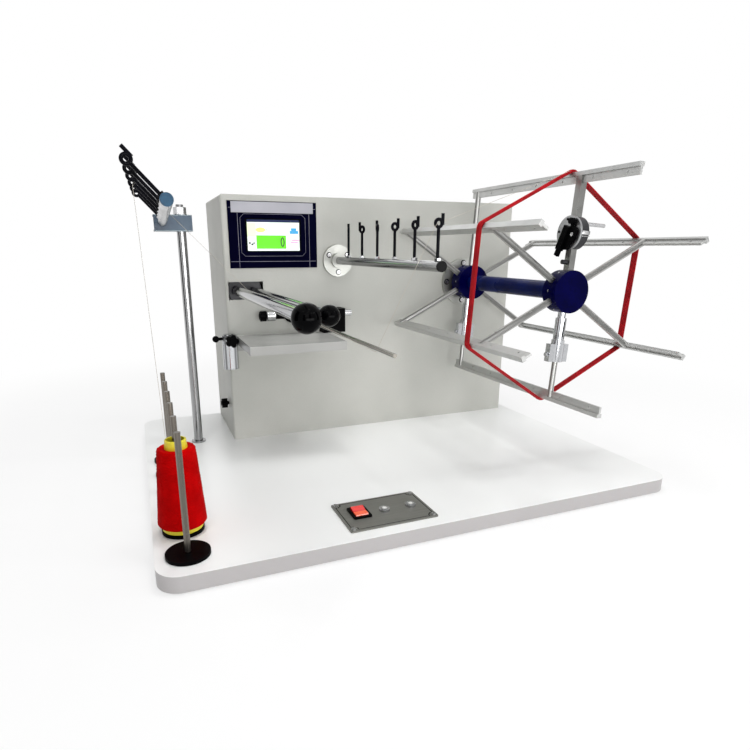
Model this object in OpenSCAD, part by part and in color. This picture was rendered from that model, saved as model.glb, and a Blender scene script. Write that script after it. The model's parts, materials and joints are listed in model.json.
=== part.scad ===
// Bench reel that winds and measures yarn from six packages, seen from its open front.
// +X runs right along the front edge, +Y towards the cabinet's back, +Z up.
// The origin is the centre of the underside, on the surface that the machine stands on.

/* [Base board] */
// Width of the base board
board_w = 730; // [690:5:800]
// Depth of the base board
board_d = 594; // [570:2:650]
// Thickness of the base board
board_t = 20; // [18:1:30]
// Radius of the board's corners
board_corner_r = 28; // [15:1:40]
// Thickness of the non-slip sheet under the board
pad_t = 1.5; // [1:0.5:3]
// Distance of the non-slip sheet from the board's edge
pad_inset = 12; // [6:1:20]

/* [Cabinet] */
// Width of the cabinet
cab_w = 565; // [550:1:568]
// Depth of the cabinet
cab_d = 178; // [176:1:190]
// Height of the cabinet above the board
cab_h = 415; // [412:1:450]
// Thickness of the cabinet's sheet metal
cab_sheet = 1.5; // [1:0.5:2]
// Outside radius of the cabinet's bends
cab_bend_r = 4; // [3:0.5:6]
// Distance from the cabinet to the board's right edge
cab_right_gap = 15.5; // [12:0.5:25]
// Distance from the cabinet to the board's back edge
cab_back_gap = 2.6; // [1:0.2:10]
// Width of one vent slot in the rear cover
vent_w = 4; // [3:0.5:6]
// Length of one vent slot in the rear cover
vent_l = 60; // [30:5:80]

/* [Display] */
// Width of the navy front panel
panel_w = 150; // [146:1:160]
// Height of the navy front panel
panel_h = 106.5; // [100:0.5:110]
// Thickness of the navy front panel
panel_t = 1; // [0.8:0.1:2]
// Distance from the cabinet's left edge to the panel
panel_left = 10.7; // [8:0.1:14]
// Height of the panel's lower edge above the board
panel_base = 299; // [296:0.5:302]
// Width of the screen window
screen_w = 95.2; // [90:0.2:100]
// Height of the screen window
screen_h = 54; // [50:0.2:56]
// Height of the screen window above the panel's lower edge
screen_base = 26; // [22:0.5:28]
// Width of the bare name strip
strip_w = 138; // [120:1:142]
// Height of the bare name strip
strip_h = 17; // [14:0.5:18]

/* [Reel] */
// Length of yarn wound by one turn of the reel
reel_girth = 1000; // [960:5:1010]
// Distance from the cabinet's left edge to the reel axis
reel_left = 454.2; // [440:0.1:470]
// Height of the reel axis above the board
reel_h = 269.3; // [260:0.1:290]
// Turn of the reel from an arm straight up
reel_tilt = 3.6; // [0:0.1:20]
// Gap between the cabinet and the rear ends of the bars
bar_gap = 15.5; // [12:0.5:25]
// Length of the six crossbars
bar_l = 378; // [370:1:390]
// Width of a crossbar's outer head
head_w = 8; // [7:0.5:12]
// Thickness of a crossbar's outer head
head_t = 5.5; // [4:0.5:7]
// Thickness of a crossbar's web
web_t = 3.5; // [2.5:0.5:5]
// Height of a crossbar's web
web_h = 10; // [8:0.5:12]
// Radius of the holes in a crossbar's web
web_hole_r = 1.6; // [1.2:0.1:2.2]
// Radius of a round spoke
spoke_r = 5; // [4:0.2:5.4]
// Distance from the cabinet's face to the rear spokes
rear_spokes = 31; // [30:0.5:36]
// Distance from the cabinet's face to the front spokes
front_spokes = 291.2; // [280:0.2:300]
// Radius of the two hubs
hub_r = 31; // [30:0.5:33]
// Length of each hub
hub_l = 27; // [26:0.5:32]
// Radius of the blue tube between the hubs
tube_r = 13.5; // [12.5:0.5:16]
// Radius of the reel shaft
shaft_r = 10; // [8:0.5:11]
// Width of the flat adjustable arm
flat_arm_w = 10; // [9:0.5:11]
// Thickness of the flat adjustable arm
flat_arm_t = 11; // [10:0.5:13]
// Radius of the adjuster drum on the flat arm
drum_r = 23; // [20:0.5:25]
// Thickness of the adjuster drum
drum_t = 13; // [12.5:0.1:16]
// Distance from the reel axis to the adjuster drum
drum_out = 83; // [78:1:92]
// Travel of the collapsing arm
release_travel = 20; // [15:1:22]
// Radius of the collapsing arm's sliding rods
release_rod_r = 4.2; // [3.6:0.1:4.4]
// Radius of the collapsing arm's sleeves
sleeve_r = 8; // [7:0.5:10]

/* [Wound skein] */
// Turns of yarn that show on the reel
skein_turns = 8; // [4:1:10]
// Spacing of the turns
skein_pitch = 1.5; // [1.45:0.05:1.8]
// Radius of the wound strand
skein_r = 0.5; // [0.4:0.05:0.52]
// Distance of the skein's first turn behind the front spokes
skein_back = 15; // [12:1:30]

/* [Yarn guide bar] */
// Distance from the cabinet's left edge to the guide bar
guide_left = 198.1; // [190:0.1:210]
// Height of the guide bar above the board
guide_h = 310.3; // [300:0.1:320]
// Number of yarns
yarns = 6; // [4:1:6]
// Spacing of the yarn guides
guide_pitch = 60; // [56:1:62]
// Distance from the cabinet's face to the first guide
guide_first = 58.6; // [52:0.2:64]
// Radius of the guide bar
guide_bar_r = 6.5; // [6:0.1:8]
// Length of bar and cap beyond the last guide
guide_end = 12; // [10:0.5:20]
// Half of the traverse stroke
traverse_half = 17.5; // [10:0.5:20]
// Radius of the guide bar's flange
guide_flange_r = 27; // [24:0.5:30]
// Radius of the wire of a pigtail guide
wire_r = 2; // [1.7:0.1:2.1]
// Distance from the bar axis to a guide's eye
eye_out = 49; // [44:1:54]
// Distance from the bar axis to a guide's tip
tip_out = 60; // [57:1:64]
// Inner radius of a guide's eye
eye_r = 2.3; // [2:0.1:2.7]

/* [Tension unit] */
// Distance from the cabinet's left edge to the tension unit's axis
tension_left = 34.6; // [34:0.1:36]
// Height of the tension unit's axis above the board
tension_h = 262.2; // [260:0.1:265]
// Width of the slot in the cabinet
slot_w = 58.7; // [58:0.1:62]
// Height of the slot in the cabinet
slot_h = 29.5; // [29:0.1:33]
// Distance between the axes of the two tension rods
rod_spacing = 29; // [28:0.5:31]
// Radius of the thick tension rod
thick_rod_r = 8; // [7:0.1:8.2]
// Radius of the thin tension rod
thin_rod_r = 5.6; // [5:0.1:6]
// Distance from the cabinet's face to the large ball
large_ball_out = 410.3; // [400:0.1:415]
// Radius of the large ball
large_ball_r = 16.2; // [15:0.1:17]
// Distance from the cabinet's face to the small ball
small_ball_out = 396; // [390:0.5:405]
// Radius of the small ball
small_ball_r = 11.7; // [10:0.1:12]
// Largest turn of the two rods either way
tension_swing = 20; // [10:1:20]
// Distance from the cabinet's left edge to the deflecting rod
deflector_left = 112.7; // [108:0.1:118]
// Height of the deflecting rod above the board
deflector_h = 219.8; // [216:0.1:224]
// Radius of the deflecting rod
deflector_r = 2.5; // [2:0.1:3]
// Distance from the cabinet's face to the deflecting rod's front end
deflector_out = 426; // [420:1:435]
// Distance that the deflecting rod can be pushed in
deflector_slide = 5; // [3:1:12]
// Width of the shelf under the rods
shelf_w = 156.5; // [150:0.5:160]
// Depth of the shelf under the rods
shelf_d = 122; // [110:1:130]
// Height of the shelf's front lip
shelf_lip = 14; // [10:1:18]
// Height of the shelf's top above the board
shelf_h = 186.6; // [182:0.2:190]
// Radius of the spring barrel
barrel_r = 13; // [11:0.5:14]
// Length of the spring barrel
barrel_l = 56.6; // [50:0.2:60]

/* [Yarn stand] */
// Distance from the board's left edge to the post
post_left = 88.5; // [84:0.5:95]
// Distance from the board's front edge to the post
post_front = 430; // [425:1:440]
// Radius of the post
post_r = 7.2; // [6.5:0.1:8]
// Height of the post's bracket top above the board
post_h = 382; // [376:1:390]
// Width of the post's bracket
bracket_w = 58; // [54:1:62]
// Height of the post's bracket
bracket_h = 25; // [22:1:28]
// Depth of the post's bracket
bracket_d = 32; // [28:1:36]
// Length of the upper guide tube
upper_tube_l = 369; // [364:1:376]
// Sideways turn of the upper guide tube
upper_tube_yaw = 2; // [0:0.1:3]
// Rise of the upper guide tube
upper_tube_rise = 0.8; // [0:0.1:1.5]
// Lean of the upper guides away from upright
upper_lean = 42; // [35:1:50]

/* [Creel] */
// Distance from the board's left edge to the pegs
peg_left = 36.3; // [32:0.1:40]
// Distance from the board's front edge to the first peg
peg_front = 42.8; // [36:0.2:48]
// Spacing of the pegs
peg_pitch = 62; // [58:0.5:63]
// Radius of a peg
peg_r = 3.5; // [3:0.1:4]
// Height of a peg above the board
peg_h = 144.7; // [138:0.1:150]
// Radius of the disc round each peg
disc_r = 25; // [24:0.5:28]
// Thickness of the disc round each peg
disc_t = 4; // [3:0.5:5]
// Radius of the yarn package at its foot
package_r = 29.5; // [27:0.5:30.5]
// Radius of the yarn package at its top
package_top_r = 22.5; // [20:0.5:24]
// Length of the yarn package
package_l = 96; // [90:0.5:97]
// Length of the cone tube
cone_l = 112.5; // [108:0.5:118]
// Radius of the cone tube at its top
cone_top_r = 12; // [10:0.5:13]
// Radius of the cone tube at its foot
cone_foot_r = 24; // [22:0.5:25]
// Wall of the cone tube
cone_wall = 1.5; // [1:0.1:2]

/* [Switch panel] */
// Width of the switch plate
plate_w = 119.5; // [110:0.5:125]
// Depth of the switch plate
plate_d = 78; // [72:0.5:84]
// Thickness of the switch plate
plate_t = 2; // [1.5:0.5:3]
// Distance from the board's left edge to the switch plate
plate_left = 223.3; // [215:0.1:240]
// Distance from the board's front edge to the switch plate
plate_front = 18.6; // [14:0.1:30]
// Width of the rocker switch's bezel
rocker_bezel_w = 24.5; // [22:0.5:26]
// Depth of the rocker switch's bezel
rocker_bezel_d = 31; // [29:0.5:34]
// Width of the rocker
rocker_w = 17; // [14:0.5:18]
// Radius of the rocker's swinging ends
rocker_r = 11.5; // [10:0.5:12]
// Tilt of the rocker either way
rocker_tilt = 7; // [5:0.5:9]
// Radius of a push button
button_r = 5.2; // [4.5:0.1:5.6]
// Travel of a push button
button_travel = 1.2; // [0.8:0.1:1.6]

/* [Drive] */
// Radius of the pulley on the reel shaft
reel_pulley_r = 40; // [36:1:44]
// Radius of the pulley on the motor
motor_pulley_r = 20; // [16:1:24]
// Distance from the cabinet's face to the belt
belt_back = 74; // [72:1:78]
// Width of the belt
belt_w = 12; // [8:1:12]
// Thickness of the belt
belt_t = 2; // [1.5:0.1:3]
// Sideways distance from the reel axis to the motor
motor_side = 95; // [90:1:105]
// Height of the motor axis above the board
motor_h = 90; // [85:1:100]
// Width of the square drive motor
motor_w = 60; // [54:1:64]
// Length of the drive motor
motor_l = 70; // [60:1:72]
// Radius of the lead screw
screw_r = 5; // [4:0.5:6]
// Distance from the guide bar down to the lead screw
screw_drop = 42; // [40:1:48]

/* [Fits and clearances] */
// Radial gap of a shaft that turns or slides in its bore
run_gap = 0.05; // [0.03:0.01:0.08]
// Radial gap of a piece that is seated in another
seat_gap = 0.03; // [0.02:0.01:0.05]
// Gap between panels and round loosely fitted pieces
panel_gap = 0.3; // [0.2:0.1:0.5]
// Radius of the screw shanks
screw_shank_r = 2; // [1.5:0.1:2.2]

/* [Hidden] */

$fn = 64;
fine = 0.01;
board_top = pad_t + board_t;
board_left = -board_w / 2;
board_front = -board_d / 2;
cab_x1 = board_w / 2 - cab_right_gap;
cab_x0 = cab_x1 - cab_w;
cab_y1 = board_d / 2 - cab_back_gap;
face_y = cab_y1 - cab_d;

// Axes of the moving groups
reel_x = cab_x0 + reel_left;
reel_z = board_top + reel_h;
guide_x = cab_x0 + guide_left;
guide_z = board_top + guide_h;
tension_x = cab_x0 + tension_left;
tension_z = board_top + tension_h;
deflector_x = cab_x0 + deflector_left;
deflector_z = board_top + deflector_h;
motor_x = reel_x - motor_side;
motor_z = board_top + motor_h;

// Reel sizes that follow from its girth
arms = 6;
rim_r = reel_girth / arms;
web_z0 = rim_r - head_t - web_h;
slot_l = 40;
head_z0 = rim_r - head_t;
bar_y1 = face_y - bar_gap;
bar_y0 = bar_y1 - bar_l;
rear_y = face_y - rear_spokes;
front_y = face_y - front_spokes;
socket_z = 14;
release_arm = 3;
sleeve_neck_r = release_rod_r + 1.5;
bar_hole_first = 19;

screen_x0 = cab_x0 + panel_left + (panel_w - screen_w) / 2;
screen_z0 = board_top + panel_base + screen_base;
flange_t = 6;
boss_r = 26;
boss_l = 60;
bearing_r = 21;
bearing_l = 12;
flange_pitch_r = 35;
guide_flange_t = 6;
guide_boss_r = 13;
guide_boss_l = 25;
guide_pitch_r = 19.5;
hub_collar_r = 26;
hub_collar_l = 5;
pulley_y = face_y + belt_back;
pulley_l = belt_w + 5;
pulley_lip = 3;
pulley_lip_t = 1.5;
motor_shaft_r = 6;
motor_nose_r = 15;
motor_nose_l = 5;
motor_plate_t = 6;
motor_plate_w = 84;
motor_plate_y = pulley_y + pulley_l + 3;

carriage_w = 34;
carriage_l = 30;
carriage_y = face_y + guide_boss_l + traverse_half + 3;
carriage_h = screw_drop + 30;
small_motor_w = 42;
small_motor_l = 44;
small_plate_y = carriage_y + carriage_l + traverse_half + 3;
small_plate_t = 5;
guide_bar_y1 = carriage_y + carriage_l;
guide_last_y = face_y - guide_first - (yarns - 1) * guide_pitch;
guide_bar_y0 = guide_last_y - guide_end + 3;
cap_t = 3;
nut_r = 4;
drum_pivot_r = 5;
drum_plate_t = 3;
drum_face_x = -drum_t / 2 - panel_gap - drum_plate_t;
crank_pin_r = 2.6;
crank_pin_l = 38;
thumb_out = 42;
thumb_r = 3.3;
thumb_l = 9;
thumb_screw_r = 1.5;
lever_tilt = 21;
nut_h = 4;
nut_sink = 1.5;
eye_ring_r = eye_r + wire_r;
guide_turns = [70, 110, 75, 10, 20, 0];
upper_turns = [20, 10, 0, 15, -10, 0];

rod_disc_r = 28;
rod_disc_t = 8;
rod_disc_y = face_y + cab_sheet + 8;
rod_pivot_r = 8;
rod_plate_y = rod_disc_y + rod_disc_t + 2;
rod_plate_t = 12;
rod_plate_w = 44;
holder_r = 10;
holder_l = 24;
holder_flange_r = 15;
holder_flange_t = 4;
holder_screw_r = 3;
holder_boss_l = 38;
holder_knob_gap = 1.5;
holder_bar_r = 6;
holder_bar_out = 105;
holder_collar_r = 9;
holder_collar_l = 14;
holder_block_x = 50;
holder_block_w = 40.5;
holder_block_d = 26;
holder_block_up = 9;
star_t = 10;
star_r = 9;
barrel_star_r = 11;
barrel_x = cab_x0;
barrel_y = face_y - barrel_r - 1.5;
barrel_z0 = board_top + shelf_h + 4 - barrel_l;
barrel_knob_z = board_top + shelf_h - 2.5;
lever_r = 2.5;
lever_l = 7;
lever_ball_r = 5.5;
side_knob_y = face_y + 44;
side_knob_z = board_top + 58.4;

post_x = board_left + post_left;
post_y = board_front + post_front;
bracket_x0 = post_x + 16.5 - bracket_w;
bracket_z0 = board_top + post_h - bracket_h;
bracket_y0 = post_y - bracket_d / 2;
upper_root = [bracket_x0 + 13, bracket_y0, bracket_z0 + 13.5];
upper_end = 15;
upper_first = upper_tube_l - upper_end - (yarns - 1) * guide_pitch;
post_top_r = post_r - 1.4;

peg_x = board_left + peg_left;
peg_y0 = board_front + peg_front;
peg_depth = 12;
peg_stud_r = peg_r - 0.8;
peg_relief = 0.6;
cone_peg = 1;
cone_z0 = board_top + disc_t + 0.5;
package_start = 6.5;
package_z0 = cone_z0 + package_start;

plate_x = board_left + plate_left + plate_w / 2;
plate_y = board_front + plate_front + plate_d / 2;
plate_z = board_top + plate_t;
plate_screw_inset = 5;
pocket_w = 100;
pocket_d = 44;
pocket_depth = 17;
rocker_x = plate_x - 32.8;
rocker_y = plate_y + 4;
rocker_pivot_z = plate_z - 1;
bezel_t = 2.2;
button_x = [plate_x + 0.8, plate_x + 38.4];
button_y = plate_y - 0.5;
ring_r = 7;
ring_t = 3.2;

cover_inset = cab_sheet + panel_gap;
cover_w = cab_w - 2 * cover_inset;
cover_h = cab_h - cover_inset;
cover_y = cab_y1 - cab_sheet;
return_w = 22;
vents = 12;
vent_pitch = 14;
inlet_x = cab_x0 + 90;
inlet_z = board_top + 50;
inlet_w = 27;
inlet_h = 20;
inlet_l = 20;
pin_w = 4;
pin_t = 2;

function arm_turn(k) = reel_tilt - 60 * k;
flange_screws = [for (a = [0:90:270]) [cos(a), sin(a)] * flange_pitch_r];
guide_screws = [for (a = [30, 150, 270]) [cos(a), sin(a)] * guide_pitch_r];
plate_screws = [for (sx = [-1, 1], sy = [-1, 1])
  [sx * (plate_w / 2 - plate_screw_inset), sy * (plate_d / 2 - plate_screw_inset)]];
cover_screws = [for (x = [-1, 0, 1], z = [0, 1])
  [x * (cover_w / 2 - 12), 12 + z * (cover_h - 24)]];

// Yarn from the cone over the upper guide, the tension rods and the guide bar to the reel
yarn_r = 0.4;
yarn_clear = 0.6;
yarn_out = yarn_r + yarn_clear;
upper_cross = 89;
thick_cross = 50;
thin_cross = 62;
deflector_cross = 371;
upper_eye = on_upper_tube(upper_first + 2 * guide_pitch,
  -eye_out * sin(upper_lean), eye_out * cos(upper_lean));
guide_eye = [guide_x, guide_last_y, guide_z + eye_out];
thick_rod_x = tension_x - rod_spacing / 2;
thin_rod_x = tension_x + rod_spacing / 2;
skein_y0 = front_y + skein_back;
tube_out = guide_bar_r + yarn_out;
thick_out = thick_rod_r + yarn_out;
thin_out = thin_rod_r + yarn_out;
deflector_turn = 1.45 * (deflector_r + yarn_out);
eye_pass = 2 * wire_r + 0.4;
yarn_path = [
  [peg_x - cone_top_r + cone_wall, peg_y0 + cone_peg * peg_pitch, cone_z0 + cone_l + yarn_out],
  upper_eye + [-1, -eye_pass, -5],
  upper_eye,
  upper_eye + [4, eye_pass, -3],
  on_upper_tube(upper_first + upper_cross, 0.67 * tube_out, 0.74 * tube_out),
  [thick_rod_x + 0.67 * thick_out, face_y - thick_cross, tension_z + 0.74 * thick_out],
  [thin_rod_x - 0.52 * thin_out, face_y - thin_cross, tension_z - 0.85 * thin_out],
  [deflector_x + 0.25 * deflector_turn, face_y - deflector_cross, deflector_z - 0.97 * deflector_turn],
  guide_eye + [-5, -eye_pass, -1],
  guide_eye,
  guide_eye + [5, eye_pass, 1],
  [reel_x + spin_point([-4, rim_r + 3], arm_turn(0))[0], skein_y0 + 4,
   reel_z + spin_point([-4, rim_r + 3], arm_turn(0))[1]]
];

function unit(v) = v / norm(v);
yarn_ways = [for (i = [0:len(yarn_path) - 1])
  let (here = yarn_path[i],
       before = i == 0 ? [0, 0, 0] : unit(here - yarn_path[i - 1]),
       after = i == len(yarn_path) - 1 ? [0, 0, 0] : unit(yarn_path[i + 1] - here))
  unit(before + after)];
yarn_sides = [for (w = yarn_ways) unit(cross(w, [1, 0, 0.1]))];
yarn_ups = [for (i = [0:len(yarn_ways) - 1]) cross(yarn_sides[i], yarn_ways[i])];

// Point beside the upper guide tube: its distance from the bracket, to the side and up
function on_upper_tube(s, side, up) =
  let (y = -s * cos(upper_tube_rise) + up * sin(upper_tube_rise),
       z = s * sin(upper_tube_rise) + up * cos(upper_tube_rise))
  upper_root + [side * cos(-upper_tube_yaw) - y * sin(-upper_tube_yaw),
                side * sin(-upper_tube_yaw) + y * cos(-upper_tube_yaw), z];

// Points of the wound skein: three on each crossbar's head and one between two bars
skein_steps = 4 * arms;
skein_seat = rim_r + panel_gap + skein_r;
function spin_point(p, turn) = [p[0] * cos(turn) + p[1] * sin(turn), -p[0] * sin(turn) + p[1] * cos(turn)];
function skein_spot(i) =
  let (k = floor(i / 4), j = i % 4)
  j < 3
    ? spin_point([(j - 1) * head_w / 2, skein_seat], arm_turn(-k))
    : (spin_point([head_w / 2, skein_seat], arm_turn(-k))
      + spin_point([-head_w / 2, skein_seat], arm_turn(-k - 1))) / 2;
function skein_out(i) =
  let (turn = arm_turn(-floor(i / 4)) + (i % 4 < 3 ? (i % 4 - 1) * 10 : 30))
  [sin(turn), cos(turn)];
skein_points = [for (n = [0:skein_turns * skein_steps])
  let (p = skein_spot(n % skein_steps))
  [reel_x + p[0], skein_y0 + n / skein_steps * skein_pitch, reel_z + p[1]]];
skein_sides = [for (n = [0:skein_turns * skein_steps])
  let (d = skein_out(n % skein_steps)) [d[0], 0, d[1]]];
skein_gap = min([for (i = [0:len(skein_points) - 1 - skein_steps / 2])
  min([for (j = [i + skein_steps / 2:len(skein_points) - 1]) norm(skein_points[i] - skein_points[j])])])
  - 2 * skein_r;
echo("least gap between turns of the skein", skein_gap);

// Closed tube along points, with a ring at each point spread by its side and up vectors
module tube_along(points, sides, ups, r, n = 6) {
  rings = [for (i = [0:len(points) - 1], k = [0:n - 1])
    points[i] + r * (cos(360 * k / n) * sides[i] + sin(360 * k / n) * ups[i])];
  last = len(points) - 1;
  walls = [for (i = [0:last - 1], k = [0:n - 1], half = [0, 1])
    half == 0 ? [i * n + k, i * n + (k + 1) % n, (i + 1) * n + k]
      : [i * n + (k + 1) % n, (i + 1) * n + (k + 1) % n, (i + 1) * n + k]];
  ends = [[for (k = [n - 1:-1:0]) k], [for (k = [0:n - 1]) last * n + k]];
  polyhedron(rings, concat(walls, ends), convexity = 10);
}

// Cylinder along Y from y0 to y1
module rod_y(r, y0, y1) {
  translate([0, y1, 0]) rotate([90, 0, 0]) cylinder(r = r, h = y1 - y0);
}

// Cylinder along X from x0 to x1
module rod_x(r, x0, x1) {
  translate([x0, 0, 0]) rotate([0, 90, 0]) cylinder(r = r, h = x1 - x0);
}

// Rectangle centred on the origin with round corners
module round_rect(w, d, r) {
  square([w - 2 * r, d], center = true);
  square([w, d - 2 * r], center = true);
  for (sx = [-1, 1], sy = [-1, 1])
    translate([sx * (w / 2 - r), sy * (d / 2 - r)]) circle(r = r);
}

// Block with its least corner at the origin
module block(x0, x1, y0, y1, z0, z1) {
  translate([x0, y0, z0]) cube([x1 - x0, y1 - y0, z1 - z0]);
}

// Screw along -Y: a slotted head in front of y = 0 and its shank behind
module screw_y(head_r, head_h, shank_l) {
  difference() {
    union() {
      rod_y(head_r, -head_h, 0);
      rod_y(screw_shank_r, -fine, shank_l);
    }
    cube([head_r * 1.4, head_h, 0.8], center = true);
    translate([0, -head_h, 0]) cube([head_r * 1.4, head_h, 0.8], center = true);
  }
}

// Five-lobed clamp knob along -Y with its screw running to y = l
module star_knob(r, t, screw_radius, l) {
  rotate([90, 0, 0]) {
    linear_extrude(t) {
      circle(r = r * 0.7);
      for (a = [0:72:288]) rotate(a) translate([r * 0.62, 0]) circle(r = r * 0.38, $fn = 48);
    }
    translate([0, 0, t - fine]) cylinder(r = r * 0.45, h = 1.5);
    translate([0, 0, -l]) cylinder(r = screw_radius, h = l + fine);
  }
}

// Group turned to arm k of the reel, with +Z outward along the arm
module at_arm(k, y) {
  translate([reel_x, y, reel_z]) rotate([0, arm_turn(k), 0]) children();
}

// One pigtail guide on a bar along Y, standing up +Z from the bar axis
module pigtail(bar_r) {
  translate([0, 0, bar_r - nut_sink]) cylinder(r = nut_r, h = nut_h, $fn = 6);
  translate([0, 0, bar_r]) cylinder(r = wire_r, h = eye_out - eye_ring_r - bar_r);
  translate([0, 0, eye_out]) rotate([90, 0, 0])
    rotate_extrude() translate([eye_ring_r, 0]) circle(r = wire_r, $fn = 32);
  translate([eye_ring_r + 1, 0, eye_out - 2]) cylinder(r = wire_r, h = tip_out - eye_out + 2);
}

module base_pad() {
  color("dimgray") linear_extrude(pad_t)
    round_rect(board_w - 2 * pad_inset, board_d - 2 * pad_inset, board_corner_r - pad_inset);
}

module base_board() {
  color("white") difference() {
    translate([0, 0, pad_t]) linear_extrude(board_t) round_rect(board_w, board_d, board_corner_r);
    for (k = [0:yarns - 1])
      translate([peg_x, peg_y0 + k * peg_pitch, board_top - peg_depth])
        cylinder(r = peg_stud_r + seat_gap, h = peg_depth + 1);
    translate([plate_x - pocket_w / 2, plate_y - pocket_d / 2, board_top - pocket_depth])
      cube([pocket_w, pocket_d, pocket_depth + 1]);
    for (p = plate_screws)
      translate([plate_x + p[0], plate_y + p[1], board_top - 10])
        cylinder(r = screw_shank_r + run_gap, h = 11);
  }
}

module cabinet_shell() {
  color("lightgray") difference() {
    intersection() {
      translate([cab_x0 + cab_w / 2, (face_y + cab_y1) / 2 + cab_bend_r, board_top])
        linear_extrude(cab_h) round_rect(cab_w, cab_d + 2 * cab_bend_r, cab_bend_r);
      block(cab_x0, cab_x1, face_y, cab_y1, board_top, board_top + cab_h);
      translate([cab_x0 + cab_w / 2, cab_y1, board_top + cab_h / 2 - cab_bend_r]) rotate([90, 0, 0])
        linear_extrude(cab_d) round_rect(cab_w, cab_h + 2 * cab_bend_r, cab_bend_r);
    }
    block(cab_x0 + cab_sheet, cab_x1 - cab_sheet, face_y + cab_sheet, cover_y - panel_gap - cab_sheet,
      board_top - 1, board_top + cab_h - cab_sheet);
    block(cab_x0 + cab_sheet, cab_x1 - cab_sheet, cover_y - panel_gap, cab_y1 + 1,
      board_top - 1, board_top + cab_h - cab_sheet);
    block(cab_x0 + return_w, cab_x1 - return_w, cab_y1 - cab_d / 2, cab_y1 + 1,
      board_top + return_w, board_top + cab_h - return_w);
    for (p = cover_screws)
      translate([cab_x0 + cab_w / 2 + p[0], 0, board_top + p[1]])
        rod_y(screw_shank_r + run_gap, cover_y - 10, cab_y1 + 1);
    translate([screen_x0, face_y - 1, screen_z0])
      cube([screen_w, cab_sheet + 2, screen_h]);
    translate([tension_x - slot_w / 2, face_y - 1, tension_z - slot_h / 2])
      cube([slot_w, cab_sheet + 2, slot_h]);
    translate([reel_x, 0, reel_z]) {
      rod_y(boss_r + seat_gap, face_y - 1, face_y + cab_sheet + 1);
      for (p = flange_screws)
        translate([p[0], 0, p[1]]) rod_y(screw_shank_r + run_gap, face_y - 1, face_y + cab_sheet + 1);
    }
    translate([guide_x, 0, guide_z]) {
      rod_y(guide_boss_r + seat_gap, face_y - 1, face_y + cab_sheet + 1);
      for (p = guide_screws)
        translate([p[0], 0, p[1]]) rod_y(screw_shank_r + run_gap, face_y - 1, face_y + cab_sheet + 1);
    }
    translate([0, side_knob_y, side_knob_z])
      rod_x(3 + run_gap, cab_x0 - 1, cab_x0 + cab_sheet + 1);
  }
}

module rear_cover() {
  color("lightgray") difference() {
    block(cab_x0 + cover_inset, cab_x1 - cover_inset, cab_y1 - cab_sheet, cab_y1,
      board_top, board_top + cover_h);
    for (bank = [-1, 1], k = [0:vents - 1])
      translate([cab_x0 + cab_w / 2 + bank * 130 + (k - (vents - 1) / 2) * vent_pitch,
          cab_y1 - cab_sheet - 1, board_top + cab_h * 0.62])
        cube([vent_w, cab_sheet + 2, vent_l]);
    translate([inlet_x - inlet_w / 2 - seat_gap, cab_y1 - cab_sheet - 1, inlet_z - inlet_h / 2 - seat_gap])
      cube([inlet_w + 2 * seat_gap, cab_sheet + 2, inlet_h + 2 * seat_gap]);
    for (p = cover_screws)
      translate([cab_x0 + cab_w / 2 + p[0], 0, board_top + p[1]])
        rod_y(screw_shank_r + run_gap, cab_y1 - cab_sheet - 1, cab_y1 + 1);
  }
}

module fasteners() {
  color("silver") {
    for (p = flange_screws)
      translate([reel_x + p[0], face_y - flange_t, reel_z + p[1]]) screw_y(4, 2.4, flange_t + 3);
    for (p = guide_screws)
      translate([guide_x + p[0], face_y - guide_flange_t, guide_z + p[1]])
        screw_y(3.4, 2, guide_flange_t + 3);
    for (p = plate_screws)
      translate([plate_x + p[0], plate_y + p[1], plate_z]) rotate([-90, 0, 0]) screw_y(3.2, 1.6, 9);
    for (p = cover_screws)
      translate([cab_x0 + cab_w / 2 + p[0], cab_y1, board_top + p[1]])
        rotate([0, 0, 180]) screw_y(3.6, 2, 5);
    translate([post_x, post_y, bracket_z0 + bracket_h]) nut();
  }
}

// Hexagon nut with a washer, seated at z = 0 round the post
module nut() {
  difference() {
    union() {
      cylinder(r = post_r + 3.6, h = 1.5);
      cylinder(r = post_r + 2.8, h = 12, $fn = 6);
    }
    translate([0, 0, -1]) cylinder(r = post_top_r + seat_gap, h = 14);
  }
}

module display_panel() {
  color("midnightblue") difference() {
    block(cab_x0 + panel_left, cab_x0 + panel_left + panel_w, face_y - panel_t, face_y,
      board_top + panel_base, board_top + panel_base + panel_h);
    translate([screen_x0, face_y - panel_t - 1, screen_z0])
      cube([screen_w, panel_t + 2, screen_h]);
  }
}

module name_strip() {
  strip_z = board_top + panel_base + panel_h - strip_h - 1;
  color("white") block(cab_x0 + panel_left + (panel_w - strip_w) / 2,
    cab_x0 + panel_left + (panel_w + strip_w) / 2, face_y - panel_t - 0.4, face_y - panel_t,
    strip_z, strip_z + strip_h);
}

module display_module() {
  color("lightcyan") {
    block(screen_x0 + seat_gap, screen_x0 + screen_w - seat_gap,
      face_y - panel_t + 0.3, face_y + cab_sheet + fine,
      screen_z0 + seat_gap, screen_z0 + screen_h - seat_gap);
    block(screen_x0 - 6, screen_x0 + screen_w + 6, face_y + cab_sheet, face_y + cab_sheet + 18,
      screen_z0 - 6, screen_z0 + screen_h + 6);
  }
}

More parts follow.
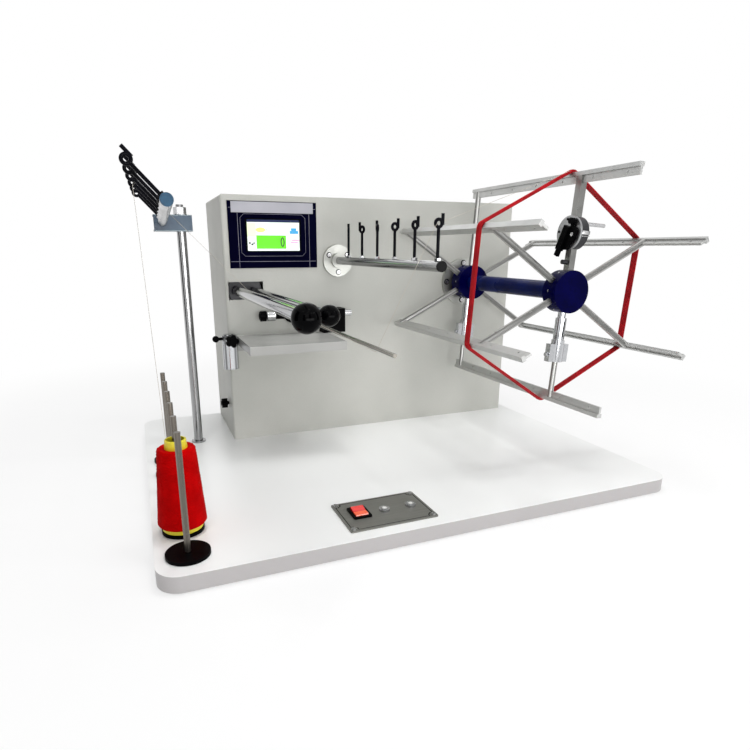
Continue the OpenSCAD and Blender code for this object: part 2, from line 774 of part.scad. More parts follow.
module control_electronics() {
  supply_x = reel_x + 12;
  supply_w = 78;
  supply_d = 75;
  supply_h = 36;
  supply_y = face_y + 90;
  board_x = cab_x0 + 74;
  pcb_y = face_y + 20;
  color("silver") block(supply_x, supply_x + supply_w, supply_y, supply_y + supply_d, board_top, board_top + supply_h);
  color("green") {
    for (dx = [6, 84], dy = [6, 104])
      translate([board_x + dx, pcb_y + dy, board_top]) cylinder(r = 3, h = 8 + fine);
    block(board_x, board_x + 90, pcb_y, pcb_y + 110, board_top + 8, board_top + 9.6);
    for (k = [0:3])
      block(board_x + 14 + k * 18, board_x + 26 + k * 18, pcb_y + 30, pcb_y + 62,
        board_top + 9.6 - fine, board_top + 16 + 3 * (k % 2));
  }
}

module power_inlet() {
  wall = 1.5;
  back = cab_y1 - inlet_l;
  color("black") translate([inlet_x, 0, inlet_z]) {
    difference() {
      union() {
        block(-inlet_w / 2, inlet_w / 2, back, cab_y1, -inlet_h / 2, inlet_h / 2);
        block(-inlet_w / 2 - 3, inlet_w / 2 + 3, cab_y1, cab_y1 + 2, -inlet_h / 2 - 2, inlet_h / 2 + 2);
      }
      block(-inlet_w / 2 + wall, inlet_w / 2 - wall, back + 4, cab_y1 + 3,
        -inlet_h / 2 + wall, inlet_h / 2 - wall);
    }
    for (x = [-7, 0, 7])
      block(x - pin_t / 2, x + pin_t / 2, back + 3, cab_y1 - 3,
        (x == 0 ? 1 : -3) - pin_w / 2, (x == 0 ? 1 : -3) + pin_w / 2);
  }
}

module reel_flange() {
  color("silver") translate([reel_x, 0, reel_z]) difference() {
    union() {
      rod_y(43, face_y - flange_t, face_y);
      rod_y(boss_r, face_y - fine, face_y + boss_l);
    }
    rod_y(shaft_r + 3, face_y - flange_t - 1, face_y + boss_l + 1);
    rod_y(bearing_r + seat_gap, face_y - flange_t - 1, face_y - flange_t + bearing_l);
    rod_y(bearing_r + seat_gap, face_y + boss_l - bearing_l, face_y + boss_l + 1);
    for (p = flange_screws)
      translate([p[0], 0, p[1]]) rod_y(screw_shank_r + run_gap, face_y - flange_t - 1, face_y + 1);
  }
}

module shaft_bearings() {
  color("gainsboro") translate([reel_x, 0, reel_z])
    for (y = [face_y - flange_t + seat_gap, face_y + boss_l - bearing_l + seat_gap])
      difference() {
        rod_y(bearing_r, y, y + bearing_l - 2 * seat_gap);
        rod_y(shaft_r + run_gap, y - 1, y + bearing_l + 1);
      }
}

module motors() {
  nose_y = motor_plate_y;
  color("dimgray") {
    translate([motor_x, 0, motor_z]) difference() {
      union() {
        rod_y(motor_nose_r, nose_y, nose_y + motor_plate_t + fine);
        translate([0, nose_y + motor_plate_t + motor_l / 2, 0])
          cube([motor_w, motor_l, motor_w], center = true);
      }
      rod_y(motor_shaft_r + run_gap, nose_y - 1, nose_y + 30);
    }
    translate([guide_x, 0, guide_z - screw_drop]) difference() {
      union() {
        rod_y(11, small_plate_y, small_plate_y + small_plate_t + fine);
        translate([0, small_plate_y + small_plate_t + small_motor_l / 2, 0])
          cube([small_motor_w, small_motor_l, small_motor_w], center = true);
      }
      rod_y(screw_r + run_gap, small_plate_y - 1, small_plate_y + 22);
    }
  }
}

// Upright plate on the board with a foot and one bore
module upright(x, z, w, top, y0, t, bore) {
  difference() {
    union() {
      block(x - w / 2, x + w / 2, y0, y0 + t, board_top, top);
      block(x - w / 2, x + w / 2, y0, y0 + t + 14, board_top, board_top + 5);
    }
    translate([x, 0, z]) rod_y(bore, y0 - 1, y0 + t + 1);
  }
}

module inner_brackets() {
  color("silver") {
    upright(motor_x, motor_z, motor_plate_w, motor_z + motor_plate_w / 2, motor_plate_y, motor_plate_t,
      motor_nose_r + seat_gap);
    upright(guide_x, guide_z - screw_drop, small_motor_w + 8, guide_z - screw_drop + 25,
      small_plate_y, small_plate_t, 11 + seat_gap);
    upright(tension_x, tension_z, rod_plate_w, tension_z + rod_plate_w / 2, rod_plate_y, rod_plate_t,
      rod_pivot_r + run_gap);
  }
}

// Outline of a taut loop round both pulleys, a distance out from their rims
module belt_outline(out) {
  hull() {
    translate([reel_x, -reel_z]) circle(r = reel_pulley_r + out, $fn = 96);
    translate([motor_x, -motor_z]) circle(r = motor_pulley_r + out, $fn = 96);
  }
}

module drive_belt() {
  belt_y = pulley_y + (pulley_l - belt_w) / 2;
  color("black") translate([0, belt_y, 0]) rotate([-90, 0, 0]) linear_extrude(belt_w) difference() {
    belt_outline(0.2 + belt_t);
    belt_outline(0.2);
  }
}

module guide_flange() {
  color("silver") translate([guide_x, 0, guide_z]) difference() {
    union() {
      rod_y(guide_flange_r, face_y - guide_flange_t, face_y);
      rod_y(guide_boss_r, face_y - guide_flange_t - 6, face_y + guide_boss_l);
    }
    rod_y(guide_bar_r + run_gap, face_y - guide_flange_t - 7, face_y + guide_boss_l + 1);
    for (p = guide_screws)
      translate([p[0], 0, p[1]]) rod_y(screw_shank_r + run_gap, face_y - guide_flange_t - 1, face_y + 1);
  }
}

module rod_holder() {
  bar_y = face_y - holder_l / 2 - holder_flange_t / 2;
  bar_x0 = -holder_r - holder_boss_l;
  color("dimgray") translate([deflector_x, 0, deflector_z]) difference() {
    union() {
      rod_y(holder_flange_r, face_y - holder_flange_t, face_y);
      rod_y(holder_r, face_y - holder_l, face_y);
      translate([0, bar_y, 0]) rod_x(holder_bar_r, bar_x0, holder_bar_out);
      translate([0, bar_y, 0]) rod_x(holder_collar_r, bar_x0, bar_x0 + holder_collar_l);
      block(holder_block_x, holder_block_x + holder_block_w, face_y - holder_block_d, face_y,
        board_top + shelf_h + 2 * panel_gap - deflector_z, holder_block_up);
    }
    rod_y(deflector_r + run_gap, face_y - holder_l - 1, face_y - 0.5);
    translate([0, face_y - holder_l / 2 - holder_flange_t / 2, 0])
      rod_x(holder_screw_r + run_gap, -holder_r - holder_boss_l - 1, -deflector_r - 0.5);
  }
}

module tension_shelf() {
  sheet = 2;
  x0 = cab_x0 + barrel_r + 1;
  z1 = board_top + shelf_h;
  color("silver") {
    block(x0, x0 + shelf_w, face_y - shelf_d, face_y, z1 - sheet, z1);
    block(x0, x0 + shelf_w, face_y - shelf_d, face_y - shelf_d + sheet, z1 - shelf_lip, z1 - fine);
    block(x0, x0 + sheet, face_y - shelf_d + fine, face_y, z1 - shelf_lip, z1 - fine);
    block(x0 + shelf_w - sheet, x0 + shelf_w, face_y - shelf_d + fine, face_y, z1 - shelf_lip, z1 - fine);
    block(x0, x0 + shelf_w, face_y - sheet, face_y, z1 - shelf_lip - 12, z1 - fine);
  }
}

module spring_barrel() {
  color("silver") difference() {
    union() {
      translate([barrel_x, barrel_y, barrel_z0]) cylinder(r = barrel_r, h = barrel_l);
      translate([barrel_x, barrel_y, barrel_z0 + barrel_l - fine]) cylinder(r = barrel_r - 3, h = 1.5);
      block(barrel_x + 2, barrel_x + barrel_r - 1, barrel_y, face_y,
        barrel_z0 + 8, barrel_z0 + barrel_l - 12);
    }
    translate([barrel_x, 0, barrel_knob_z])
      rod_y(holder_screw_r + run_gap, barrel_y - barrel_r - 1, barrel_y - 2);
    translate([0, barrel_y, barrel_knob_z + 1])
      rod_x(lever_r + run_gap, barrel_x - barrel_r - 1, barrel_x - 4);
  }
}

module stand_post() {
  color("silver") translate([post_x, post_y, board_top]) {
    cylinder(r = post_r, h = post_h - bracket_h);
    cylinder(r = post_top_r, h = post_h + 16);
    cylinder(r = post_r + 4.5, h = 3);
  }
}

module stand_bracket() {
  wall = 2.5;
  color("lightsteelblue") difference() {
    block(bracket_x0, bracket_x0 + bracket_w, bracket_y0, bracket_y0 + bracket_d,
      bracket_z0, bracket_z0 + bracket_h);
    block(bracket_x0 - 1, bracket_x0 + bracket_w + 1, bracket_y0 + wall, bracket_y0 + bracket_d + 1,
      bracket_z0 + wall, bracket_z0 + bracket_h - wall);
    translate([post_x, post_y, bracket_z0 - 1]) cylinder(r = post_top_r + seat_gap, h = bracket_h + 2);
    translate(upper_root) rotate([0, 0, -upper_tube_yaw]) rotate([-upper_tube_rise, 0, 0])
      rod_y(3 + seat_gap, -wall, 2 * wall);
  }
}

// Frame of the upper guide tube: its axis is -Y from the bracket
module at_upper_tube() {
  translate(upper_root) rotate([0, 0, -upper_tube_yaw]) rotate([-upper_tube_rise, 0, 0]) children();
}

module upper_guide_tube() {
  color("silver") at_upper_tube() {
    rod_y(guide_bar_r, -upper_tube_l + cap_t, -0.4);
    rod_y(3, -1, 9);
    rod_y(6, 3.6, 9);
  }
}

module upper_tube_cap() {
  color("midnightblue") at_upper_tube() rod_y(guide_bar_r, -upper_tube_l, -upper_tube_l + cap_t);
}

module upper_yarn_guides() {
  color("black") at_upper_tube()
    for (k = [0:yarns - 1])
      translate([0, -upper_first - k * guide_pitch, 0]) rotate([0, -upper_lean, 0])
        rotate([0, 0, upper_turns[k]]) pigtail(guide_bar_r);
}

module peg_discs() {
  color("black") for (k = [0:yarns - 1])
    translate([peg_x, peg_y0 + k * peg_pitch, board_top]) difference() {
      cylinder(r = disc_r, h = disc_t);
      translate([0, 0, -1]) cylinder(r = peg_stud_r + seat_gap, h = disc_t + 2);
    }
}

module creel_pegs() {
  color("silver") for (k = [0:yarns - 1])
    translate([peg_x, peg_y0 + k * peg_pitch, board_top]) {
      translate([0, 0, -peg_depth])
        cylinder(r = peg_stud_r, h = peg_depth + disc_t + peg_relief + fine);
      translate([0, 0, disc_t + peg_relief]) cylinder(r = peg_r, h = peg_h - disc_t - peg_relief);
    }
}

module yarn_run() {
  color("whitesmoke") tube_along(yarn_path, yarn_sides, yarn_ups, yarn_r, 8);
}

module switch_plate() {
  color("gray") difference() {
    translate([plate_x, plate_y, board_top]) linear_extrude(plate_t) round_rect(plate_w, plate_d, 2);
    for (p = plate_screws)
      translate([plate_x + p[0], plate_y + p[1], board_top - 1])
        cylinder(r = screw_shank_r + run_gap, h = plate_t + 2);
    translate([rocker_x - rocker_w / 2 - 1.5, rocker_y - rocker_r - 1.5, board_top - 1])
      cube([rocker_w + 3, 2 * rocker_r + 3, plate_t + 2]);
    for (x = button_x)
      translate([x, button_y, board_top - 1]) cylinder(r = button_r + panel_gap, h = plate_t + 2);
  }
}

module rocker_bezel() {
  color("black") translate([rocker_x, rocker_y, 0]) difference() {
    union() {
      translate([0, 0, plate_z]) linear_extrude(bezel_t) round_rect(rocker_bezel_w, rocker_bezel_d, 2);
      block(-rocker_w / 2 - 1.4, rocker_w / 2 + 1.4, -rocker_r - 1.4, rocker_r + 1.4,
        board_top - pocket_depth + 1, plate_z + fine);
    }
    block(-rocker_w / 2 - panel_gap, rocker_w / 2 + panel_gap, -rocker_r - panel_gap, rocker_r + panel_gap,
      board_top - pocket_depth + 3, plate_z + bezel_t + 1);
    translate([0, 0, rocker_pivot_z]) rod_x(1 + run_gap, -rocker_w / 2 - 1.4, rocker_w / 2 + 1.4);
  }
}

module button_rings() {
  color("silver") for (x = button_x)
    translate([x, button_y, plate_z]) difference() {
      cylinder(r = ring_r, h = ring_t);
      translate([0, 0, -1]) cylinder(r = button_r + panel_gap, h = ring_t + 2);
    }
}

module reel_shaft() {
  color("silver") translate([reel_x, 0, reel_z])
    rod_y(shaft_r, front_y - hub_l / 2 + 3, pulley_y + pulley_l + 2);
}

module reel_pulley() {
  color("dimgray") translate([reel_x, 0, reel_z]) difference() {
    union() {
      rod_y(reel_pulley_r, pulley_y, pulley_y + pulley_l);
      for (y = [pulley_y, pulley_y + pulley_l - pulley_lip_t])
        rod_y(reel_pulley_r + pulley_lip, y, y + pulley_lip_t);
    }
    rod_y(shaft_r + seat_gap, pulley_y - 1, pulley_y + pulley_l + 1);
  }
}

module hub(y, blind, flat) {
  difference() {
    translate([reel_x, 0, reel_z]) union() {
      rod_y(hub_r, y - hub_l / 2, y + hub_l / 2);
      if (!blind) rod_y(hub_collar_r, y + hub_l / 2 - fine, y + hub_l / 2 + hub_collar_l);
    }
    translate([reel_x, 0, reel_z])
      rod_y(shaft_r + seat_gap, y - hub_l / 2 + (blind ? 3 : -1), y + hub_l / 2 + hub_collar_l + 1);
    for (k = [0:arms - 1]) at_arm(k, y) {
      if (k == 0 && flat)
        translate([-flat_arm_w / 2 - seat_gap, -flat_arm_t / 2 - seat_gap, socket_z])
          cube([flat_arm_w + 2 * seat_gap, flat_arm_t + 2 * seat_gap, hub_r]);
      else
        translate([0, 0, socket_z])
          cylinder(r = (k == release_arm ? sleeve_neck_r : spoke_r) + seat_gap, h = hub_r);
    }
  }
}
module hubs() {
  color("midnightblue") {
    hub(front_y, true, true);
    hub(rear_y, false, false);
  }
}

module hub_tube() {
  color("mediumblue") translate([reel_x, 0, reel_z]) difference() {
    rod_y(tube_r, front_y + hub_l / 2, rear_y - hub_l / 2);
    rod_y(shaft_r + seat_gap, front_y + hub_l / 2 - 1, rear_y - hub_l / 2 + 1);
  }
}

// Slot at the outer end of an arm that takes a crossbar's web
module web_slot() {
  translate([-web_t / 2 - seat_gap, -slot_l / 2, web_z0 - seat_gap])
    cube([web_t + 2 * seat_gap, slot_l, web_h + head_t]);
}

module spokes() {
  color("silver") for (k = [0:arms - 1], y = [front_y, rear_y])
    if (k != release_arm)
      at_arm(k, y) difference() {
        translate([0, 0, socket_z + seat_gap]) linear_extrude(head_z0 - socket_z - 2 * seat_gap)
          if (k == 0 && y == front_y) square([flat_arm_w, flat_arm_t], center = true);
          else circle(r = spoke_r);
        web_slot();
        if (k == 0 && y == front_y)
          translate([0, 0, thumb_out]) rod_x(thumb_screw_r + seat_gap, -flat_arm_w / 2 - 1, 0);
      }
}

// Crossbar of arm k: an outer head on a web with a row of holes
module crossbar(k) {
  at_arm(k, 0) difference() {
    union() {
      block(-head_w / 2, head_w / 2, bar_y0, bar_y1, head_z0, rim_r);
      block(-web_t / 2, web_t / 2, bar_y0, bar_y1, web_z0, head_z0 + fine);
    }
    for (i = [0:yarns - 1])
      translate([0, bar_y0 + bar_hole_first + i * guide_pitch, web_z0 + web_h / 2])
        rod_x(web_hole_r, -web_t, web_t);
  }
}

module reel_bars() {
  color("gainsboro") for (k = [0:arms - 1]) if (k != release_arm) crossbar(k);
}

module skein() {
  color("crimson") tube_along(skein_points, skein_sides, [for (p = skein_points) [0, 1, 0]], skein_r);
}

module adjuster_drum() {
  thumb_x = -flat_arm_w / 2 - panel_gap;
  color("dimgray") at_arm(0, front_y) {
    difference() {
      translate([0, 0, drum_out]) union() {
        rod_x(drum_r, -drum_t / 2, drum_t / 2);
        rod_x(drum_pivot_r, drum_face_x - 3, -drum_t / 2 + fine);
        block(-drum_t / 2, drum_t / 2, -drum_r - 0.8, -drum_r + 3, -2.4, 2.4);
        translate([0, -10, 13]) rod_x(crank_pin_r, drum_t / 2 - fine, drum_t / 2 + crank_pin_l);
      }
      translate([-flat_arm_w / 2 - seat_gap, -flat_arm_t / 2 - seat_gap, drum_out - drum_r - 1])
        cube([flat_arm_w + 2 * seat_gap, flat_arm_t + 2 * seat_gap, 2 * drum_r + 2]);
    }
    translate([0, 0, thumb_out]) {
      rod_x(thumb_r, thumb_x - thumb_l, thumb_x);
      rod_x(thumb_screw_r, thumb_x - fine, -1);
    }
  }
}

module adjuster_plate() {
  color("silver") at_arm(0, front_y) translate([0, 0, drum_out]) {
    difference() {
      rod_x(drum_r + 1, drum_face_x, -drum_t / 2 - panel_gap);
      rod_x(drum_pivot_r + run_gap, drum_face_x - 1, -drum_t / 2);
    }
    for (a = [5, -40, 75])
      translate([0, cos(a) * 19.5, sin(a) * 19.5]) rod_x(1.8, drum_face_x - 1, drum_face_x + fine);
  }
}

// Lever on the adjuster: a flat body, a bar across it with a narrow end, and a clamp knob
module adjuster_lever() {
  color("black") at_arm(0, front_y) translate([0, 0, drum_out]) difference() {
    union() {
      translate([drum_face_x - 5, 0, 0]) rotate([90, 0, 90]) linear_extrude(5)
        polygon([[4, 8], [-14, 8], [-19, 3], [-17, -8], [-4, -24], [15, -24], [12, -13]]);
      rotate([lever_tilt, 0, 0]) {
        block(drum_face_x - 8.5, drum_face_x - 2, -5, 5.5, -26, 9);
        block(drum_face_x - 7.5, drum_face_x - 3, -3.5, 4, -35, -26 + fine);
      }
      translate([0, -9, 15.5]) rod_x(4.5, drum_face_x - 8, drum_face_x - 2);
      block(drum_face_x - 4.5, drum_face_x - 1, -11, -7, 6, 14);
      translate([0, -13.5, -3]) rod_x(2.4, drum_face_x - 6, drum_face_x - 5 + fine);
    }
    rod_x(drum_pivot_r + run_gap, drum_face_x - 3.6, drum_face_x + 1);
  }
}

// Sleeve on the hub that guides the collapsing arm's rod, with its clamp block
module arm_sleeve() {
  neck = socket_z + seat_gap;
  body = hub_r + 8;
  clamp = body + 39;
  clamp_h = 27;
  difference() {
    union() {
      translate([0, 0, neck]) cylinder(r = sleeve_neck_r, h = body - neck + fine);
      translate([0, 0, body]) cylinder(r = sleeve_r, h = clamp - body + fine);
      translate([0, 0, clamp - 6]) cylinder(r = sleeve_r + 1.5, h = 6);
      translate([0, 0, clamp]) cylinder(r = sleeve_r + 2, h = clamp_h);
      block(-17, 17, -5, 5, clamp, clamp + clamp_h);
      translate([17 - fine, 0, clamp + clamp_h * 0.6]) rod_x(3, 0, 4);
    }
    translate([0, 0, body - 18]) cylinder(r = release_rod_r + run_gap, h = clamp_h + 80);
    translate([-1.3, -sleeve_r - 2, body + 5]) cube([2.6, sleeve_r + 2, release_travel + 3]);
  }
}

module arm_sleeves() {
  color("silver") for (y = [front_y, rear_y]) at_arm(release_arm, y) arm_sleeve();
}

module release_rods() {
  rod_z0 = hub_r + 8 - 18 + release_travel + 4;
  color("silver") for (y = [front_y, rear_y]) at_arm(release_arm, y) difference() {
    translate([0, 0, rod_z0]) cylinder(r = release_rod_r, h = head_z0 - rod_z0 - seat_gap);
    web_slot();
  }
}

module release_bar() {
  color("gainsboro") crossbar(release_arm);
}

module guide_bar() {
  color("silver") translate([guide_x, 0, guide_z]) rod_y(guide_bar_r, guide_bar_y0, guide_bar_y1);
}

module guide_bar_cap() {
  color("midnightblue") translate([guide_x, 0, guide_z])
    rod_y(guide_bar_r, guide_bar_y0 - cap_t, guide_bar_y0);
}

module yarn_guides() {
  color("black") for (k = [0:yarns - 1])
    translate([guide_x, face_y - guide_first - k * guide_pitch, guide_z])
      rotate([0, 0, guide_turns[k]]) pigtail(guide_bar_r);
}

module traverse_carriage() {
  color("dimgray") difference() {
    translate([guide_x, 0, guide_z])
      block(-carriage_w / 2, carriage_w / 2, carriage_y, carriage_y + carriage_l,
        15 - carriage_h, 15);
    translate([guide_x, 0, guide_z])
      rod_y(guide_bar_r + seat_gap, carriage_y - 1, carriage_y + carriage_l + 1);
    translate([guide_x, 0, guide_z - screw_drop])
      rod_y(screw_r + run_gap, carriage_y - 1, carriage_y + carriage_l + 1);
  }
}

module lead_screw() {
  color("silver") translate([guide_x, 0, guide_z - screw_drop])
    rod_y(screw_r, face_y + cab_sheet + 4, small_plate_y + 20);
}

module motor_pulley() {
  color("dimgray") translate([motor_x, 0, motor_z]) {
    rod_y(motor_pulley_r, pulley_y, pulley_y + pulley_l);
    for (y = [pulley_y, pulley_y + pulley_l - pulley_lip_t])
      rod_y(motor_pulley_r + pulley_lip, y, y + pulley_lip_t);
    rod_y(motor_shaft_r, pulley_y, motor_plate_y + 28);
  }
}

module tension_rods() {
  rod_back = rod_disc_y + rod_disc_t;
  color("silver") {
    translate([thick_rod_x, 0, tension_z]) rod_y(thick_rod_r, face_y - large_ball_out + 6, rod_back - fine);
    translate([thin_rod_x, 0, tension_z]) rod_y(thin_rod_r, face_y - small_ball_out + 4, rod_back - fine);
    translate([tension_x, 0, tension_z]) {
      rod_y(rod_disc_r, rod_disc_y, rod_back);
      rod_y(rod_pivot_r, rod_back - fine, rod_plate_y + rod_plate_t + 3);
    }
  }
}

// Ball along Y with a blind bore from its back for a rod's end
module ball(r, bore, seat) {
  rotate([-90, 0, 0]) rotate_extrude() difference() {
    intersection() {
      circle(r = r, $fn = 96);
      translate([0, -r]) square([r, 2 * r]);
    }
    translate([-1, seat]) square([bore + seat_gap + 1, r]);
  }
}

module ball_knobs() {
  color("black") {
    translate([thick_rod_x, face_y - large_ball_out, tension_z])
      ball(large_ball_r, thick_rod_r, 6 - seat_gap);
    translate([thin_rod_x, face_y - small_ball_out, tension_z])
      ball(small_ball_r, thin_rod_r, 4 - seat_gap);
  }
}

module deflector_rod() {
  color("silver") translate([deflector_x, 0, deflector_z])
    rod_y(deflector_r, face_y - deflector_out, face_y - deflector_slide - 1);
}

module holder_knob() {
  knob_y = face_y - holder_l / 2 - holder_flange_t / 2;
  color("black") translate([deflector_x - holder_r - holder_boss_l - holder_knob_gap, knob_y, deflector_z])
    rotate([0, 0, -90]) star_knob(star_r, star_t, holder_screw_r,
      holder_r + holder_boss_l + holder_knob_gap - deflector_r - 1);
}

module barrel_knob() {
  color("black") translate([barrel_x, barrel_y - barrel_r - 5, barrel_knob_z])
    star_knob(barrel_star_r, star_t, holder_screw_r, barrel_r + 2);
}

module barrel_lever() {
  ball_x = barrel_r + lever_l + 3;
  color("black") translate([barrel_x, barrel_y, barrel_knob_z + 1]) rotate([0, -90, 0])
    rotate_extrude() {
      translate([0, 5]) square([lever_r, ball_x - 5]);
      translate([0, ball_x]) intersection() {
        circle(r = lever_ball_r);
        translate([0, -lever_ball_r]) square([lever_ball_r, 2 * lever_ball_r]);
      }
    }
}

module side_knob() {
  color("black") translate([cab_x0 - 3, side_knob_y, side_knob_z])
    rotate([0, 0, -90]) star_knob(star_r, star_t, 3, 7);
}

module rocker() {
  crown = 4.6;
  color("red") translate([rocker_x, rocker_y, rocker_pivot_z]) rotate([rocker_tilt, 0, 0]) {
    intersection() {
      rod_x(rocker_r, -rocker_w / 2, rocker_w / 2);
      translate([-rocker_w / 2, 0, 0]) rotate([90, 0, 90]) linear_extrude(rocker_w)
        polygon([[-rocker_r - 1, -4], [rocker_r + 1, -4], [rocker_r + 1, crown + 1.6],
          [0, crown], [-rocker_r - 1, crown + 1.6]]);
    }
    rod_x(1, -rocker_w / 2 - 1.2, rocker_w / 2 + 1.2);
  }
}

module push_button(x) {
  color("gainsboro") translate([x, button_y, plate_z - 6]) cylinder(r = button_r, h = 6 + ring_t + 0.6);
}

module start_button() {
  push_button(button_x[0]);
}

module stop_button() {
  push_button(button_x[1]);
}

// Cone tube and the yarn wound on it
module yarn_cone() {
  foot = [peg_x, peg_y0 + cone_peg * peg_pitch, cone_z0];
  color("crimson") translate(foot) difference() {
    union() {
      cylinder(r1 = cone_foot_r, r2 = cone_top_r, h = cone_l);
      translate([0, 0, package_z0 - cone_z0]) cylinder(r1 = package_r, r2 = package_top_r, h = package_l);
    }
    translate([0, 0, -fine])
      cylinder(r1 = cone_foot_r - cone_wall, r2 = cone_top_r - cone_wall, h = cone_l + 2 * fine);
  }
}

base_pad();
base_board();
cabinet_shell();
rear_cover();
fasteners();
display_panel();
name_strip();
display_module();
control_electronics();
power_inlet();
reel_flange();
shaft_bearings();
motors();
inner_brackets();
drive_belt();
guide_flange();
rod_holder();
tension_shelf();
spring_barrel();
stand_post();
stand_bracket();
upper_guide_tube();
upper_tube_cap();
upper_yarn_guides();
peg_discs();
creel_pegs();
yarn_run();
switch_plate();
rocker_bezel();
button_rings();
reel_shaft();
reel_pulley();
hubs();
hub_tube();
spokes();
reel_bars();
skein();
adjuster_drum();
arm_sleeves();
adjuster_plate();
adjuster_lever();
release_rods();
release_bar();
guide_bar();
guide_bar_cap();
yarn_guides();
traverse_carriage();
lead_screw();
motor_pulley();
tension_rods();
ball_knobs();
deflector_rod();
holder_knob();
barrel_knob();
barrel_lever();
side_knob();
rocker();
start_button();
stop_button();
yarn_cone();
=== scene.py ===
import bpy
import json
import random
from math import cos, pi, radians, sin, tau
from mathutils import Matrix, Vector


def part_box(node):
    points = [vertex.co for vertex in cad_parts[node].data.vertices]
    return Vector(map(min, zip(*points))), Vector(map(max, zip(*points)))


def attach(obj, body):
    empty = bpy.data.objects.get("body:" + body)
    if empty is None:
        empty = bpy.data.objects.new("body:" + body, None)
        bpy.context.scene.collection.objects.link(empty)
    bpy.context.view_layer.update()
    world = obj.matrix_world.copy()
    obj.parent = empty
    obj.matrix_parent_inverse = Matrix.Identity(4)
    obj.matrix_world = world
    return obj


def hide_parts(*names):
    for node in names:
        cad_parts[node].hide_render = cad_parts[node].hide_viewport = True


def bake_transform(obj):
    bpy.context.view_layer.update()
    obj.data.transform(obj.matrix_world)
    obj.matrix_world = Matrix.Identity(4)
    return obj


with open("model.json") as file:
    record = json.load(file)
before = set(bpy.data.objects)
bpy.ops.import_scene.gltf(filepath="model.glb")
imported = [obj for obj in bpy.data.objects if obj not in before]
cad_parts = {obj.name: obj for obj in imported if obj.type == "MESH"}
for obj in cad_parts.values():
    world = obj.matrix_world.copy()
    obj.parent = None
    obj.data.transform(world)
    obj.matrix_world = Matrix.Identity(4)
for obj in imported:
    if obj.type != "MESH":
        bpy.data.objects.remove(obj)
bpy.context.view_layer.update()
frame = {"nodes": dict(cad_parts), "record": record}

print("stage: frame loaded")

mm = 0.001
joints = {j["name"]: j for j in frame["record"]["behaviour"]["joints"]}
slotOfNode = {s["node"]: s["material_slot"] for s in frame["record"]["subparts"]}


def linear(red, green, blue):  # screen colour 0..255 to the values that the shader wants
    def one(v):
        v = v / 255
        return v / 12.92 if v <= 0.04045 else ((v + 0.055) / 1.055) ** 2.4
    return (one(red), one(green), one(blue), 1.0)


def mid(node):
    low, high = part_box(node)
    return (low + high) / 2


def millimetres(**sizes):  # sizes given in millimetres, as metres
    return {name: size * mm for name, size in sizes.items()}


# nodes
def feed(tree, node, values):  # plain values, or the outputs of other nodes, by input
    for key, value in values.items():
        if hasattr(value, "is_linked"):
            tree.links.new(value, node.inputs[key])
        else:
            node.inputs[key].default_value = value


def addNode(tree, kind, values=None, **settings):
    node = tree.nodes.new("ShaderNode" + kind)
    for key, value in settings.items():
        setattr(node, key, value)
    feed(tree, node, values or {})
    return node


def mathNode(tree, operation, first, second=None, clamp=False):
    values = {0: first} if second is None else {0: first, 1: second}
    return addNode(tree, "Math", values, operation=operation, use_clamp=clamp).outputs[0]


def mixColours(tree, factor, dark, light, blend="MIX"):
    values = {"Factor": factor, "A": dark, "B": light}
    return addNode(tree, "Mix", values, data_type="RGBA", blend_type=blend).outputs["Result"]


def emptyTree(holder):  # node tree of a material or the world
    holder.use_nodes = True
    holder.node_tree.nodes.clear()
    return holder.node_tree


def noiseNode(tree, vector, scale, detail):
    return addNode(tree, "TexNoise", {"Vector": vector, "Scale": scale, "Detail": detail}).outputs[0]


# shared effects
noiseSpan = dict(low=0.3, high=0.7, slowLow=0.35, slowHigh=0.65)  # where most of a noise's values lie


def newGroup(name, output, **inputs):  # one number makes a plain input, three a vector, four a colour
    group = bpy.data.node_groups.new(name, "ShaderNodeTree")
    for label, value in dict(Vector=(0, 0, 0), **inputs).items():
        kind = {1: "Float", 3: "Vector", 4: "Color"}[len(value) if isinstance(value, tuple) else 1]
        socket = group.interface.new_socket(label, in_out="INPUT", socket_type="NodeSocket" + kind)
        socket.default_value = value
    kind = "Color" if output == "Color" else "Float"
    group.interface.new_socket(output, in_out="OUTPUT", socket_type="NodeSocket" + kind)
    return group, group.nodes.new("NodeGroupInput").outputs, group.nodes.new("NodeGroupOutput")


def fitToEnds(tree, value, given):  # noise spread from the group's Low to its High
    values = {"Value": value, "From Min": noiseSpan["low"], "From Max": noiseSpan["high"],
              "To Min": given["Low"], "To Max": given["High"]}
    return addNode(tree, "MapRange", values).outputs[0]


def buildStretchedGrain():  # noise drawn out along one axis: brushing, drawing lines, wood-like streaks
    g, given, out = newGroup("stretchedGrain", "Value", Stretch=(1, 1, 1), Scale=400.0, Low=0.0,
                             High=1.0)
    times = addNode(g, "VectorMath", {0: given["Vector"], 1: given["Stretch"]}, operation="MULTIPLY")
    noise = noiseNode(g, times.outputs[0], given["Scale"], 4)
    feed(g, out, {"Value": fitToEnds(g, noise, given)})
    return g


def buildTurnedRings():  # fine rings round an axis through the mapped origin, along Y
    g, given, out = newGroup("turnedRings", "Value", Scale=900.0, Low=0.0, High=1.0)
    flat = addNode(g, "VectorMath", {0: given["Vector"], 1: (1, 0, 1)}, operation="MULTIPLY")
    far = addNode(g, "VectorMath", {0: flat.outputs[0]}, operation="LENGTH").outputs["Value"]
    values = {"W": far, "Scale": given["Scale"], "Detail": 2}
    noise = addNode(g, "TexNoise", values, noise_dimensions="1D").outputs[0]
    feed(g, out, {"Value": fitToEnds(g, noise, given)})
    return g


